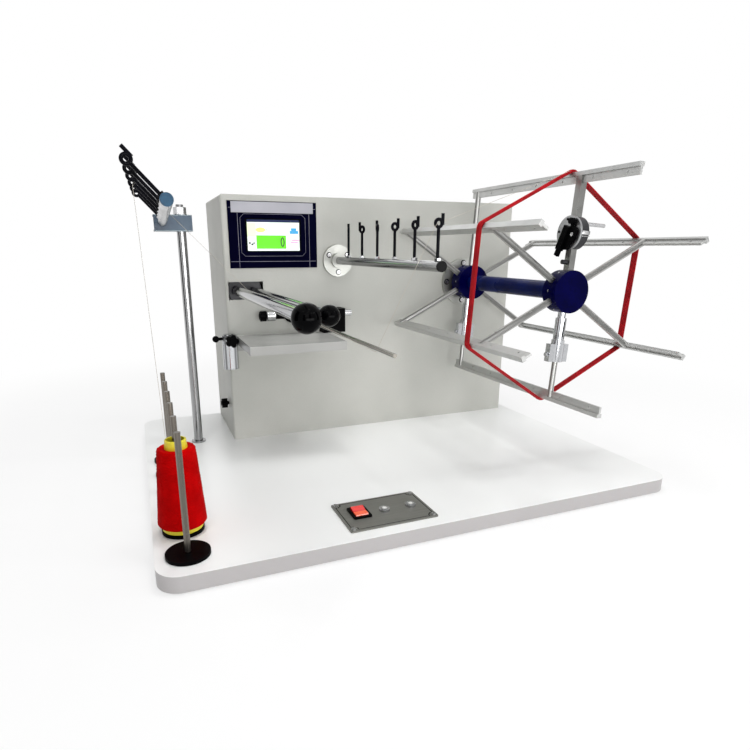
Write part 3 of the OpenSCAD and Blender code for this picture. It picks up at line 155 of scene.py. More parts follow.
def buildTwoTone():  # slow drift between two colours, with a few finer flecks
    s = dict(fleckScale=900, fleckMiddle=0.5)
    g, given, out = newGroup("twoTone", "Color", Scale=12.0, Light=(1, 1, 1, 1), Dark=(0, 0, 0, 1),
                             Fleck=0.1)
    slow = noiseNode(g, given["Vector"], given["Scale"], 3)
    fine = noiseNode(g, given["Vector"], s["fleckScale"], 2)
    fleck = mathNode(g, "MULTIPLY", mathNode(g, "SUBTRACT", fine, s["fleckMiddle"]), given["Fleck"])
    fit = {"Value": slow, "From Min": noiseSpan["slowLow"], "From Max": noiseSpan["slowHigh"]}
    both = mathNode(g, "ADD", addNode(g, "MapRange", fit).outputs[0], fleck, clamp=True)
    feed(g, out, {"Color": mixColours(g, both, given["Dark"], given["Light"])})
    return g


def buildPaintSkin():  # fine pebbled skin of sprayed paint and moulded plastic
    g, given, out = newGroup("paintSkin", "Height", Scale=700.0)
    noise = noiseNode(g, given["Vector"], given["Scale"], 3)
    values = {"Vector": given["Vector"], "Scale": given["Scale"], "Smoothness": 0.8}
    cells = addNode(g, "TexVoronoi", values, feature="SMOOTH_F1")
    feed(g, out, {"Height": mathNode(g, "ADD", cells.outputs["Distance"], noise)})
    return g


def buildThreadLay():  # fine twisted fibres across a strand, read from the piece's own UV map
    g, given, out = newGroup("threadLay", "Value", Along=60.0, Around=3.0)
    parts = addNode(g, "SeparateXYZ", {0: given["Vector"]}).outputs
    along = mathNode(g, "MULTIPLY", parts[0], given["Along"])
    around = mathNode(g, "MULTIPLY", parts[1], given["Around"])
    wave = mathNode(g, "SINE", mathNode(g, "MULTIPLY", mathNode(g, "ADD", along, around), tau))
    feed(g, out, {"Value": mathNode(g, "MULTIPLY", mathNode(g, "ADD", wave, 1.0), 0.5)})
    return g


groups = {g.name: g for g in (buildStretchedGrain(), buildTurnedRings(), buildTwoTone(),
                              buildPaintSkin(), buildThreadLay())}
print("stage: shared effects built")


def placeGroup(tree, name, vector, **values):
    return addNode(tree, "Group", dict(values, Vector=vector), node_tree=groups[name]).outputs[0]


def startMaterial(name, centre=(0, 0, 0), useUv=False):
    made = bpy.data.materials.new(name)
    tree = emptyTree(made)
    shader = addNode(tree, "BsdfPrincipled")
    addNode(tree, "OutputMaterial", {0: shader.outputs[0]})
    where = addNode(tree, "TexCoord").outputs["UV" if useUv else "Object"]
    mapping = addNode(tree, "Mapping", {"Vector": where, "Location": [-c for c in centre]},
                      vector_type="POINT")
    return made, tree, shader, mapping.outputs[0]


def addBump(tree, shader, height, strength, distance):
    bump = addNode(tree, "Bump", {"Strength": strength, "Distance": distance, "Height": height})
    feed(tree, shader, {"Normal": bump.outputs[0]})


def unevenRough(tree, vector, rough, s):  # roughness that drifts a little over the surface
    return placeGroup(tree, "stretchedGrain", vector, Scale=s["patch"], Low=rough - s["smoother"],
                      High=rough + s["rougher"])


def mixLook(tree, factor, dark, light):
    return mixColours(tree, factor, linear(*dark), linear(*light))


def toneOf(tree, vector, look, fleck):
    return placeGroup(tree, "twoTone", vector, Scale=look["drift"], Light=linear(*look["light"]),
                      Dark=linear(*look["dark"]), Fleck=fleck)


# finishes
def paintFinish(name, look):
    s = dict(patch=9.0, smoother=0.05, rougher=0.06, depth=0.3 * mm)
    look = dict(plainPaint, **look)
    made, tree, shader, vector = startMaterial(name)
    rough = unevenRough(tree, vector, look["rough"], s)
    feed(tree, shader, {"Base Color": toneOf(tree, vector, look, look["fleck"]), "Roughness": rough,
                        "Metallic": look["metal"], "Specular IOR Level": look["shine"],
                        "Coat Weight": look["coat"]})
    skin = placeGroup(tree, "paintSkin", vector, Scale=look["skin"])
    addBump(tree, shader, skin, look["bump"], s["depth"])
    return made


# painted reflection: how light or dark a steel piece is painted from facing (0) to grazing (1)
stockReflectionStops = [(0.0, 1.0), (0.12, 0.62), (0.3, 0.85), (0.5, 1.0), (0.78, 0.34), (1.0, 0.5)]
thinReflectionStops = [(0.0, 1.0), (0.05, 0.96), (0.14, 0.3), (0.3, 0.36), (0.45, 0.92), (1.0, 0.6)]
barrelReflectionStops = [(0.0, 0.5), (0.02, 1.0), (0.1, 0.95), (0.2, 0.22), (0.42, 0.85), (1.0, 0.4)]


def addPaintedReflections(tree, colour, share, stops):  # painted reflection: dark and light strips by facing, multiplied into the colour, as round polished stock mirrors them
    facing = addNode(tree, "LayerWeight", {"Blend": 0.5})
    ramp = addNode(tree, "ValToRGB", {0: facing.outputs["Facing"]})
    while len(ramp.color_ramp.elements) < len(stops):
        ramp.color_ramp.elements.new(0.5)
    for element, (place, value) in zip(ramp.color_ramp.elements, stops):
        element.position = place
        element.color = (value, value, value, 1)
    return mixColours(tree, share, colour, ramp.outputs[0], blend="MULTIPLY")


def metalFinish(name, look):
    s = dict(patch=35.0, smoother=0.8, rougher=1.25, grainRough=0.4, depth=0.1 * mm)
    look = dict(plainMetal, **look)
    made, tree, shader, vector = startMaterial(name, look["centre"])
    if look["rings"]:
        grain = placeGroup(tree, "turnedRings", vector, Scale=look["grain"])
    else:
        grain = placeGroup(tree, "stretchedGrain", vector, Stretch=look["stretch"], Scale=look["grain"])
    colour = mixLook(tree, grain, look["dark"], look["light"])
    # painted reflection strips on round polished stock
    if look["streaks"]:
        colour = addPaintedReflections(tree, colour, look["streaks"], look["stops"])
    smudge = placeGroup(tree, "stretchedGrain", vector, Scale=s["patch"],
                        Low=look["rough"] * s["smoother"], High=look["rough"] * s["rougher"])
    lines = mathNode(tree, "MULTIPLY", grain, look["rough"] * s["grainRough"])
    feed(tree, shader, {"Base Color": colour, "Roughness": mathNode(tree, "ADD", smudge, lines),
                        "Metallic": look["metal"]})
    addBump(tree, shader, grain, look["bump"], s["depth"])
    return made


def filmFinish(name, look):  # smooth printed film
    s = dict(patch=25.0, smoother=0.03, rougher=0.05, fleck=0.05)
    made, tree, shader, vector = startMaterial(name)
    rough = unevenRough(tree, vector, look["rough"], s)
    feed(tree, shader, {"Base Color": toneOf(tree, vector, look, s["fleck"]), "Roughness": rough,
                        "Specular IOR Level": 0.0})
    return made


def yarnFinish(name, look):  # strand with its fibres laid along the UV map
    s = dict(along=900, around=2.0, fibres=0.45, patches=0.55, bump=0.5, depth=0.2 * mm, rough=0.7)
    made, tree, shader, vector = startMaterial(name, useUv=True)
    lay = placeGroup(tree, "threadLay", vector, Along=s["along"], Around=s["around"])
    place = addNode(tree, "TexCoord").outputs["Object"]
    drift = placeGroup(tree, "stretchedGrain", place, Scale=look["drift"])
    blend = mathNode(tree, "ADD", mathNode(tree, "MULTIPLY", lay, s["fibres"]),
                     mathNode(tree, "MULTIPLY", drift, s["patches"]), clamp=True)
    feed(tree, shader, {"Base Color": mixLook(tree, blend, look["dark"], look["light"]),
                        "Roughness": s["rough"], "Specular IOR Level": look["shine"]})
    addBump(tree, shader, lay, s["bump"], s["depth"])
    return made


def litFinish(name, look):  # lit area of the screen
    s = dict(patch=22.0, rough=0.25, shine=0.25)
    made, tree, shader, vector = startMaterial(name)
    colour = linear(*look["colour"])
    faded = [c * look.get("faded", 0.9) for c in colour[:3]] + [1]
    tone = placeGroup(tree, "twoTone", vector, Scale=s["patch"], Light=colour, Dark=faded, Fleck=0.0)
    feed(tree, shader, {"Base Color": tone, "Emission Color": tone,
                        "Emission Strength": look["strength"], "Roughness": s["rough"],
                        "Specular IOR Level": s["shine"]})
    return made


def boardFinish(name, look):  # white laminate on top with faint painted shadow streaks along Y, a pale grey edge band round the sides
    s = dict(stretch=(1, 0.06, 1), grain=13.0, streaks=0.02, patch=11.0, smoother=0.02, rougher=0.03,
             depth=0.2 * mm)
    made, tree, shader, vector = startMaterial(name)
    height = addNode(tree, "SeparateXYZ", {0: vector}).outputs[2]
    isTop = mathNode(tree, "GREATER_THAN", height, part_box("base_board")[1].z - look["band"])
    # painted shadow: faint streaks along Y pull the top towards the edge colour
    paintedShadowStreak = placeGroup(tree, "stretchedGrain", vector, Stretch=s["stretch"], Scale=s["grain"],
                        High=s["streaks"])
    factor = mathNode(tree, "SUBTRACT", isTop, paintedShadowStreak, clamp=True)
    feed(tree, shader, {"Base Color": mixLook(tree, factor, look["edge"], look["top"]),
                        "Roughness": unevenRough(tree, vector, look["rough"], s)})
    skin = placeGroup(tree, "paintSkin", vector, Scale=look["skin"])
    addBump(tree, shader, skin, look["bump"], s["depth"])
    return made


alongX = (0.02, 1, 1)
alongY = (1, 0.02, 1)
alongZ = (1, 1, 0.02)
reelCentre = joints["reel_spin"]["pos_m"]

plainPaint = dict(drift=30, fleck=0.2, skin=900, bump=0.05, metal=0.0, shine=0.5, coat=0.0)
paints = {  # what differs from plain paint
    "cabinet_paint": dict(light=(198, 198, 192), dark=(181, 182, 176), drift=5, fleck=0.9, skin=520,
                          bump=0.28, rough=0.46, shine=0.35),
    "bracket_paint": dict(light=(62, 86, 106), dark=(36, 54, 76), fleck=0.5, bump=0.1, rough=0.34,
                          shine=0.6),
    "black_plastic": dict(light=(9, 9, 10), dark=(4, 4, 5), drift=40, fleck=0.6, skin=1300, bump=0.12,
                          rough=0.36, shine=0.02),
    "ball_plastic": dict(light=(4, 4, 5), dark=(2, 2, 3), drift=20, fleck=0.1, skin=400, bump=0.01,
                         rough=0.05, shine=0.04),
    "black_wire": dict(light=(9, 9, 16), dark=(4, 4, 8), drift=60, fleck=0.4, skin=1500, rough=0.22,
                       shine=0.06),
    "pad": dict(light=(48, 48, 48), dark=(34, 34, 34), drift=20, fleck=0.6, skin=600, bump=0.5,
                rough=0.8),
    "belt_rubber": dict(light=(40, 40, 41), dark=(26, 26, 27), fleck=0.5, bump=0.3, rough=0.7),
    "bare_strip": dict(light=(184, 184, 191), dark=(172, 172, 180), drift=14, fleck=0.1, skin=1200,
                       bump=0.03, rough=0.38, shine=0.3),
    "motor_case": dict(light=(52, 53, 56), dark=(34, 35, 38), drift=25, fleck=0.6, skin=800, bump=0.15,
                       rough=0.4, metal=0.3),
    "circuit": dict(light=(34, 112, 62), dark=(20, 84, 44), drift=70, fleck=0.3, skin=700, rough=0.42),
    "navy_cap": dict(light=(44, 92, 122), dark=(20, 44, 70), drift=60, fleck=0.3, rough=0.3, shine=0.3),
    "navy_anodised": dict(light=(1, 1, 58), dark=(0, 0, 46), drift=60, bump=0.01, rough=0.22,
                          shine=0.03),
    "blue_anodised": dict(light=(3, 18, 76), dark=(1, 10, 58), bump=0.01, rough=0.24, shine=0.08),
    "rocker_red": dict(light=(228, 34, 22), dark=(190, 14, 12), drift=40, bump=0.02, rough=0.16,
                       coat=0.6),
    "cone_yellow": dict(light=(232, 220, 52), dark=(214, 200, 30), drift=20, rough=0.42),
}
plainMetal = dict(stretch=(1, 1, 1), bump=0.02, metal=1.0, streaks=0.0, stops=stockReflectionStops, rings=False,
                  centre=(0, 0, 0))
metals = {  # what differs from plain metal
    "chrome": dict(light=(214, 215, 218), dark=(200, 202, 205), stretch=alongY, grain=400, rough=0.09,
                   bump=0.01, streaks=0.85),
    "screw_steel": dict(light=(206, 206, 206), dark=(180, 180, 182), grain=900, rough=0.22),
    "satin_steel": dict(light=(184, 184, 184), dark=(168, 169, 170), grain=300, rough=0.2, bump=0.01,
                        streaks=0.9),
    "machined_steel": dict(light=(186, 187, 186), dark=(150, 151, 151), rings=True, grain=2600,
                           centre=reelCentre, rough=0.3, bump=0.06),
    "bracket_steel": dict(light=(190, 191, 193), dark=(156, 158, 160), stretch=alongZ, grain=500,
                          rough=0.38, bump=0.04),
    "bar_aluminium": dict(light=(202, 202, 200), dark=(190, 191, 190), stretch=alongY, grain=160,
                          rough=0.42, bump=0.0),
    "switch_plate": dict(light=(134, 134, 128), dark=(112, 112, 107), stretch=alongX, grain=900,
                         rough=0.38, bump=0.05, metal=0.6),
    "button_steel": dict(light=(206, 206, 207), dark=(176, 177, 179), grain=700, rough=0.2),
}
films = {
    "navy_panel": dict(light=(7, 7, 32), dark=(3, 3, 22), drift=9, rough=0.22),
    "screen": dict(light=(12, 13, 18), dark=(8, 8, 12), drift=9, rough=0.12),
    "pale_print": dict(light=(150, 150, 162), dark=(126, 126, 140), drift=30, rough=0.4),
    "dark_print": dict(light=(26, 26, 26), dark=(14, 14, 14), drift=30, rough=0.5),
}
yarns = {
    "skein_yarn": dict(light=(196, 14, 30), dark=(128, 2, 10), drift=60, shine=0.3),
    "yarn_package": dict(light=(204, 2, 4), dark=(146, 0, 1), drift=45, shine=0.03),
    "yarn_thread": dict(light=(214, 208, 196), dark=(160, 152, 140), drift=30, shine=0.15),
}
litAreas = {
    "lit_page": dict(colour=(228, 236, 232), strength=0.62, faded=0.93),
    "lit_header": dict(colour=(12, 26, 70), strength=0.4),
    "lit_green": dict(colour=(92, 208, 14), strength=0.6, faded=0.92),
    "lit_yellow": dict(colour=(240, 222, 120), strength=0.75),
    "lit_blue": dict(colour=(60, 160, 214), strength=0.5),
    "lit_pale": dict(colour=(226, 238, 196), strength=0.55),
    "lit_pink": dict(colour=(238, 150, 186), strength=0.7),
    "lit_ink": dict(colour=(26, 30, 34), strength=0.4),
    "lit_band": dict(colour=(206, 236, 240), strength=0.75),
}
boards = {"board": dict(top=(240, 241, 240), edge=(178, 175, 175), band=0.3 * mm, rough=0.3, skin=300,
                        bump=0.03)}

# finishes of single pieces: the finish that each starts from, and what differs
flangeLook = dict(light=(190, 191, 186), dark=(166, 167, 162), rough=0.34)
guideCentre = mid("guide_flange")
variants = {
    "guide_flange_steel": ("machined_steel", dict(flangeLook, centre=tuple(guideCentre))),
    "reel_flange_steel": ("machined_steel", flangeLook),
    "adjuster_steel": ("screw_steel", dict(light=(178, 179, 180), dark=(160, 161, 163), rough=0.26)),
    # painted highlight: the button caps are painted near white for their glare
    "cap_painted_glare": ("screw_steel", dict(light=(250, 250, 248), dark=(240, 240, 238), rough=0.3,
                                      metal=0.35)),
    "post_steel": ("satin_steel", dict(stretch=alongZ, rough=0.16)),
    "tube_steel": ("satin_steel", dict(stretch=alongY, rough=0.18)),
    "peg_steel": ("satin_steel", dict(light=(142, 136, 128), dark=(118, 112, 104), stretch=alongZ,
                                      rough=0.24)),
    "rod_steel": ("satin_steel", dict(light=(170, 166, 158), dark=(150, 146, 138), stretch=alongY,
                                      rough=0.2)),
    "spoke_steel": ("satin_steel", dict(light=(206, 206, 203), dark=(192, 192, 189), stops=thinReflectionStops,
                                        streaks=0.95, grain=60, bump=0.0, rough=0.28)),
    "barrel_chrome": ("chrome", dict(stretch=alongZ, rough=0.12, stops=barrelReflectionStops, streaks=0.95)),
    "shelf_paint": ("cabinet_paint", dict(light=(178, 178, 175), dark=(160, 161, 158), rough=0.2,
                                          shine=0.6, bump=0.05)),
    # painted highlight on the bracket's rounded edges
    "bracket_edge_highlight": ("bracket_paint", dict(light=(150, 166, 172), dark=(128, 144, 152))),
    # painted shade: the inner brackets seen through the slot are painted near black
    "inner_painted_shade": ("black_plastic", dict(light=(16, 18, 36), dark=(6, 7, 18))),
}
finishes = {}
for build, looks in ((paintFinish, paints), (metalFinish, metals), (filmFinish, films),
                     (yarnFinish, yarns), (litFinish, litAreas), (boardFinish, boards)):
    for name, look in looks.items():
        finishes[name] = build(name, look)
for name, (base, changes) in variants.items():
    build, looks = (metalFinish, metals) if base in metals else (paintFinish, paints)
    finishes[name] = build(name, dict(looks[base], **changes))
print("stage: finishes built")


def splitFinish(base, name, side, limit, look):  # another look where the place along side is past limit
    made = base.copy()
    made.name = name
    tree = made.node_tree
    shader = next(n for n in tree.nodes if n.type == "BSDF_PRINCIPLED")
    where = addNode(tree, "TexCoord").outputs["Object"]
    along = addNode(tree, "VectorMath", {0: where, 1: side}, operation="DOT_PRODUCT")
    past = mathNode(tree, "GREATER_THAN", along.outputs["Value"], limit)
    for label, value in look.items():
        socket = shader.inputs[label]
        mix = addNode(tree, "Mix", data_type="RGBA" if label == "Base Color" else "FLOAT")
        ends = [i for i in mix.inputs if i.enabled and i.name in ("A", "B")]
        if socket.is_linked:
            tree.links.new(socket.links[0].from_socket, ends[0])
        else:
            ends[0].default_value = socket.default_value
        ends[1].default_value = value
        tree.links.new(past, mix.inputs[0])
        tree.links.new(next(o for o in mix.outputs if o.enabled), socket)
    return made


steelLook = {"Base Color": linear(200, 201, 202), "Metallic": 1.0, "Roughness": 0.2}
# painted shade inside the slot
slotShadeLook = {"Base Color": linear(10, 11, 24), "Metallic": 0.0, "Roughness": 0.4}
# painted light on the rocker's lit front half
paintedLitLook = {"Base Color": linear(255, 92, 44), "Metallic": 0.0, "Roughness": 0.2}
splitSizes = dict(bareStem=9.2 * mm, lean=radians(42), twist=radians(2), slotDepth=4 * mm,
                  tubeRoot=(-0.305, 0.117, 0.392), holderLeft=-136.6 * mm, holderRight=-12.1 * mm,
                  rockerShift=1.5 * mm)
guideTop = mid("guide_bar").z + splitSizes["bareStem"]
lean, twist = splitSizes["lean"], splitSizes["twist"]
stemUp = Vector((-sin(lean) * cos(twist), sin(lean) * sin(twist), cos(lean)))
stemTop = stemUp.dot(Vector(splitSizes["tubeRoot"])) + splitSizes["bareStem"]
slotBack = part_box("cabinet_shell")[0].y - splitSizes["slotDepth"]
rockerMid = mid("rocker").y - splitSizes["rockerShift"]
splits = {  # the finish it starts from, direction, place along it, and the look past that place
    "guide_wire": ("black_wire", (0, 0, -1), -guideTop, steelLook),
    "upper_wire": ("black_wire", -stemUp, -stemTop, steelLook),
    # painted shade: the tension rods are painted dark where they run into the slot
    "tension_chrome": ("chrome", (0, 1, 0), slotBack, slotShadeLook),
    "holder_left": ("black_plastic", (-1, 0, 0), -splitSizes["holderLeft"], steelLook),
    "holder_black": ("holder_left", (1, 0, 0), splitSizes["holderRight"], steelLook),
    # painted light: the front half of the rocker is painted a lighter orange, as its lit face
    "rocker_painted_lit": ("rocker_red", (0, -1, 0), -rockerMid, paintedLitLook),
}
for name, (base, side, limit, look) in splits.items():
    finishes[name] = splitFinish(finishes[base], name, side, limit, look)

ownFinish = dict(  # solids whose finish isn't the one that their slot names
    guide_flange="guide_flange_steel", reel_flange="reel_flange_steel", adjuster_plate="adjuster_steel",
    tension_shelf="shelf_paint", stand_post="post_steel", creel_pegs="peg_steel",
    upper_guide_tube="tube_steel", guide_bar="tube_steel", spring_barrel="barrel_chrome",
    spokes="spoke_steel", release_rods="spoke_steel", deflector_rod="rod_steel",
    inner_brackets="inner_painted_shade", rod_holder="holder_black", rocker="rocker_painted_lit",
    yarn_guides="guide_wire", upper_yarn_guides="upper_wire", tension_rods="tension_chrome",
    guide_bar_cap="ball_plastic",
)
for node, slot in slotOfNode.items():
    solid = frame["nodes"][node]
    solid.data.materials.clear()
    solid.data.materials.append(finishes[ownFinish.get(node, slot)])
print("stage: finishes on the solids")


# modelling helpers
def clearSelection():
    if bpy.context.object and bpy.context.object.mode != "OBJECT":
        bpy.ops.object.mode_set(mode="OBJECT")
    bpy.ops.object.select_all(action="DESELECT")


def newObject(name, data):
    made = bpy.data.objects.new(name, data)
    bpy.context.collection.objects.link(made)
    return made


def editAll():
    bpy.ops.object.mode_set(mode="EDIT")
    bpy.ops.mesh.select_all(action="SELECT")


def selectOnly(piece):
    clearSelection()
    bpy.context.view_layer.objects.active = piece
    piece.select_set(True)


def applyPlace(piece):
    selectOnly(piece)
    bpy.ops.object.transform_apply(location=True, rotation=True, scale=True)
    return piece


def finishPiece(piece, name, body, finish, smooth=None):
    selectOnly(piece)
    piece.name = name
    for modifier in list(piece.modifiers):
        bpy.ops.object.modifier_apply(modifier=modifier.name)
    applyPlace(piece)
    if smooth is not None:
        bpy.ops.object.shade_smooth_by_angle(angle=radians(smooth))
    piece.data.materials.clear()
    piece.data.materials.append(finishes[finish])
    if body:
        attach(piece, body)
    piece.select_set(False)
    return piece


def joinPieces(parts):
    clearSelection()
    for part in parts:
        part.select_set(True)
    bpy.context.view_layer.objects.active = parts[0]
    bpy.ops.object.join()
    return bpy.context.object


def addPlate(low, high, bevel, segments=2):  # box between two corners with its edges broken
    clearSelection()
    low, high = Vector(low), Vector(high)
    bpy.ops.mesh.primitive_cube_add(size=1, location=(low + high) / 2)
    plate = bpy.context.object
    plate.scale = high - low
    bpy.ops.object.transform_apply(location=False, rotation=False, scale=True)
    editAll()
    bpy.ops.mesh.bevel(offset=bevel, segments=segments, affect="EDGES")
    bpy.ops.object.mode_set(mode="OBJECT")
    return plate


quarter = pi / 2
axisTurns = {"Z": (0, 0, 0), "Y": (-quarter, 0, 0), "-Y": (quarter, 0, 0)}


def addTurned(profile, centre=(0, 0, 0), axis="Z", steps=48):  # pairs of radius and height in mm, spun
    points = [(radius * mm, 0, height * mm) for radius, height in profile]
    mesh = bpy.data.meshes.new("turned")
    mesh.from_pydata(points, [(i, i + 1) for i in range(len(points) - 1)], [])
    turned = newObject("turned", mesh)
    selectOnly(turned)
    editAll()
    bpy.ops.mesh.spin(steps=steps, angle=tau, center=(0, 0, 0), axis=(0, 0, 1))
    bpy.ops.mesh.select_all(action="SELECT")
    bpy.ops.mesh.remove_doubles(threshold=0.005 * mm)
    bpy.ops.mesh.normals_make_consistent(inside=False)
    bpy.ops.object.mode_set(mode="OBJECT")
    turned.rotation_euler = axisTurns[axis]
    turned.location = centre
    return turned


def addStrand(name, points, radius, cyclic=False, sides=2):  # round strand along points, as a mesh
    curve = bpy.data.curves.new(name, "CURVE")
    curve.dimensions = "3D"
    curve.bevel_depth = radius
    curve.bevel_resolution = sides
    curve.use_fill_caps = True
    line = curve.splines.new("POLY")
    line.points.add(len(points) - 1)
    for spot, point in zip(line.points, points):
        spot.co = (*point, 1)
    line.use_cyclic_u = cyclic
    selectOnly(newObject(name, curve))
    bpy.ops.object.convert(target="MESH")
    return bpy.context.object


# front panel and screen
panelLow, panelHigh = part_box("display_panel")
panelSizes = millimetres(line=0.7, proud=0.12, bevel=0.04, sideIn=15.5, rightShift=2, sideFoot=1,
                         sideTop=88, footUp=10.5, edge=2, tickEnd=6, tickDown=11, frameIn=20,
                         frameTop=86.5, frameFoot=19.5, corner=6, frameLine=0.3, frameProud=0.02)


def panelLines():  # printed lines: two uprights, one along the foot, two short ones and a frame
    s = panelSizes
    face = panelLow.y
    left, right, foot, top = panelLow.x, panelHigh.x, panelLow.z, panelHigh.z
    strips = [(x, x + s["line"], foot + s["sideFoot"], foot + s["sideTop"])
              for x in (left + s["sideIn"], right - s["sideIn"] + s["rightShift"])]
    up, tickFoot = foot + s["footUp"], top - s["tickDown"]
    strips.append((left + s["edge"], right - s["edge"], up, up + s["line"]))
    for x0, x1 in ((left + s["edge"], left + s["tickEnd"]), (right - s["tickEnd"], right - s["edge"])):
        strips.append((x0, x1, tickFoot, tickFoot + s["line"]))
    made = [addPlate((x0, face - s["proud"], z0), (x1, face, z1), s["bevel"], segments=1)
            for x0, x1, z0, z1 in strips]
    x0, x1 = left + s["frameIn"], right - s["frameIn"]
    z0, z1 = foot + s["frameFoot"], foot + s["frameTop"]
    cut = s["corner"]
    outline = [(x0 + cut, z0), (x1 - cut, z0), (x1, z0 + cut), (x1, z1 - cut), (x1 - cut, z1),
               (x0 + cut, z1), (x0, z1 - cut), (x0, z0 + cut)]
    points = [(x, face - s["frameProud"], z) for x, z in outline]
    made.append(addStrand("frameLine", points, s["frameLine"], cyclic=True))
    return joinPieces(made)


finishPiece(panelLines(), "panelLines", "machine", "pale_print")

screenSizes = millimetres(width=95.2, height=54, footUp=26, bevel=0.05, sunk=0.05, ringThick=0.08)
windowLeft = mid("display_panel").x - screenSizes["width"] / 2
windowFoot = panelLow.z + screenSizes["footUp"]
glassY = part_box("display_module")[0].y


def onWindow(across, up):  # shares of the window's width and height
    return windowLeft + across * screenSizes["width"], windowFoot + up * screenSizes["height"]


def screenTile(left, right, foot, top, lift):
    x0, z0 = onWindow(left, foot)
    x1, z1 = onWindow(right, top)
    back = glassY + screenSizes["sunk"]
    return addPlate((x0, glassY - lift, z0), (x1, back, z1), screenSizes["bevel"], segments=1)


tiles = [  # left, right, foot and top in shares of the window, lift in mm, and the lit area
    ("screenPage", 0.035, 0.965, 0.04, 0.96, 0.06, "lit_page"),
    ("screenHeader", 0.035, 0.965, 0.885, 0.96, 0.1, "lit_header"),
    ("screenBand", 0.36, 0.74, 0.81, 0.85, 0.09, "lit_band"),
    ("screenSide", 0.035, 0.19, 0.46, 0.86, 0.08, "lit_pale"),
    ("screenCount", 0.19, 0.72, 0.1, 0.5, 0.1, "lit_green"),
    ("screenBlock", 0.79, 0.945, 0.55, 0.64, 0.1, "lit_blue"),
    ("screenBlockTop", 0.815, 0.91, 0.64, 0.72, 0.1, "lit_blue"),
    ("screenKey", 0.82, 0.96, 0.34, 0.38, 0.1, "lit_pink"),
    ("screenKeyTwo", 0.8, 0.94, 0.27, 0.31, 0.1, "lit_pink"),
]
for name, left, right, foot, top, lift, area in tiles:
    finishPiece(screenTile(left, right, foot, top, lift * mm), name, "machine", area)


def screenOval(across, up, halfWidth, halfHeight, band, lift):  # flat oval, or a ring where band is set
    clearSelection()
    bpy.ops.mesh.primitive_circle_add(vertices=40, radius=1, fill_type="NGON", rotation=(quarter, 0, 0))
    oval = bpy.context.object
    x, z = onWindow(across, up)
    oval.location = (x, glassY - lift, z)
    oval.scale = (halfWidth, halfHeight, 1)
    bpy.ops.object.transform_apply(location=False, rotation=True, scale=True)
    if band:
        editAll()
        bpy.ops.mesh.inset(thickness=band)
        bpy.ops.mesh.delete(type="FACE")
        bpy.ops.object.mode_set(mode="OBJECT")
    thick = oval.modifiers.new("thick", "SOLIDIFY")
    thick.thickness = screenSizes["ringThick"]
    thick.offset = 0
    return oval


ovals = [  # place in shares of the window, half sizes, band and lift in mm, and the lit area
    ("screenDigit", 0.655, 0.3, 3.3, 7.6, 1.5, 0.14, "lit_ink"),
    ("screenOval", 0.27, 0.66, 8.0, 4.0, 0, 0.11, "lit_yellow"),
    ("screenMark0", 0.07, 0.27, 2.2, 1.3, 0, 0.12, "lit_ink"),
    ("screenMark1", 0.115, 0.23, 1.8, 1.6, 0, 0.12, "lit_ink"),
    ("screenMark2", 0.145, 0.27, 1.3, 1.5, 0, 0.12, "lit_ink"),
    ("screenMark3", 0.37, 0.66, 1.4, 0.7, 0, 0.12, "lit_ink"),
]
for name, across, up, wide, high, band, lift, area in ovals:
    oval = screenOval(across, up, wide * mm, high * mm, band * mm, lift * mm)
    finishPiece(oval, name, "machine", area)
print("stage: front panel and screen made")


# reel
reelAxis = Vector(reelCentre)
frontY = reelCentre[1]
armTilt = radians(3.6)
armCount = 6
armStep = radians(360 / armCount)
rimRadius = 1000 / armCount * mm  # a hexagon with a girth of one metre


def armPoint(k, side, out, y):  # place on arm k: sideways and outward from the reel axis
    turn = armTilt - k * armStep
    return Vector((reelAxis.x + side * cos(turn) + out * sin(turn), y,
                   reelAxis.z - side * sin(turn) + out * cos(turn)))


def woundSkein():
    s = dict(layers=(13, 12, 11, 9, 6), pitch=0.92 * mm, strand=0.54 * mm, layer=0.85 * mm,
             jitter=0.12 * mm, gap=0.3 * mm, overBar=(-4.2, -2.2, 0, 2.2, 4.2), edge=3 * mm,
             edgeLayer=0.86, edgeDrop=0.25 * mm)
    random.seed(11)
    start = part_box("skein")[0].y + s["strand"]
    seat = rimRadius + s["gap"] + s["strand"]
    stops = [(k, side * mm) for k in range(armCount) for side in s["overBar"]]
    turns = []
    for layer, count in enumerate(s["layers"]):
        inset = (s["layers"][0] - count) / 2
        places = [inset + i for i in range(count)]
        turns += [(layer, place) for place in (reversed(places) if layer % 2 else places)]
    points = []
    for layer, place in turns:
        wobble = random.uniform(-1, 1) * s["jitter"]
        for number, (k, side) in enumerate(stops):
            share = number / len(stops)
            step = 1 - share if layer % 2 else share
            y = start + (place + step) * s["pitch"] + wobble
            atEdge = abs(side) > s["edge"]
            out = seat + layer * s["layer"] * (s["edgeLayer"] if atEdge else 1)
            points.append(armPoint(-k, side, out - (s["edgeDrop"] if atEdge else 0), y))
    return addStrand("skeinYarn", points, s["strand"])


skein = finishPiece(woundSkein(), "skeinYarn", "reel", "skein_yarn", smooth=60)
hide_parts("skein")


def hubScrews():  # socket-head grub screws round both hubs, between the spokes
    s = dict(out=30.6 * mm, pastTube=12 * mm)
    profile = [(0, 0.9), (1.0, 0.9), (1.0, 0.35), (1.9, 0.35), (2.2, 0.1), (2.2, -1), (0, -1)]
    heads = []
    tubeLow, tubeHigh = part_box("hub_tube")
    for y in (tubeHigh.y + s["pastTube"], tubeLow.y - s["pastTube"]):
        for k in range(armCount):
            between = k + 0.5
            head = addTurned(profile, armPoint(between, 0, s["out"], y), steps=16)
            head.rotation_euler = (0, armTilt - between * armStep, 0)
            heads.append(applyPlace(head))
    return joinPieces(heads)


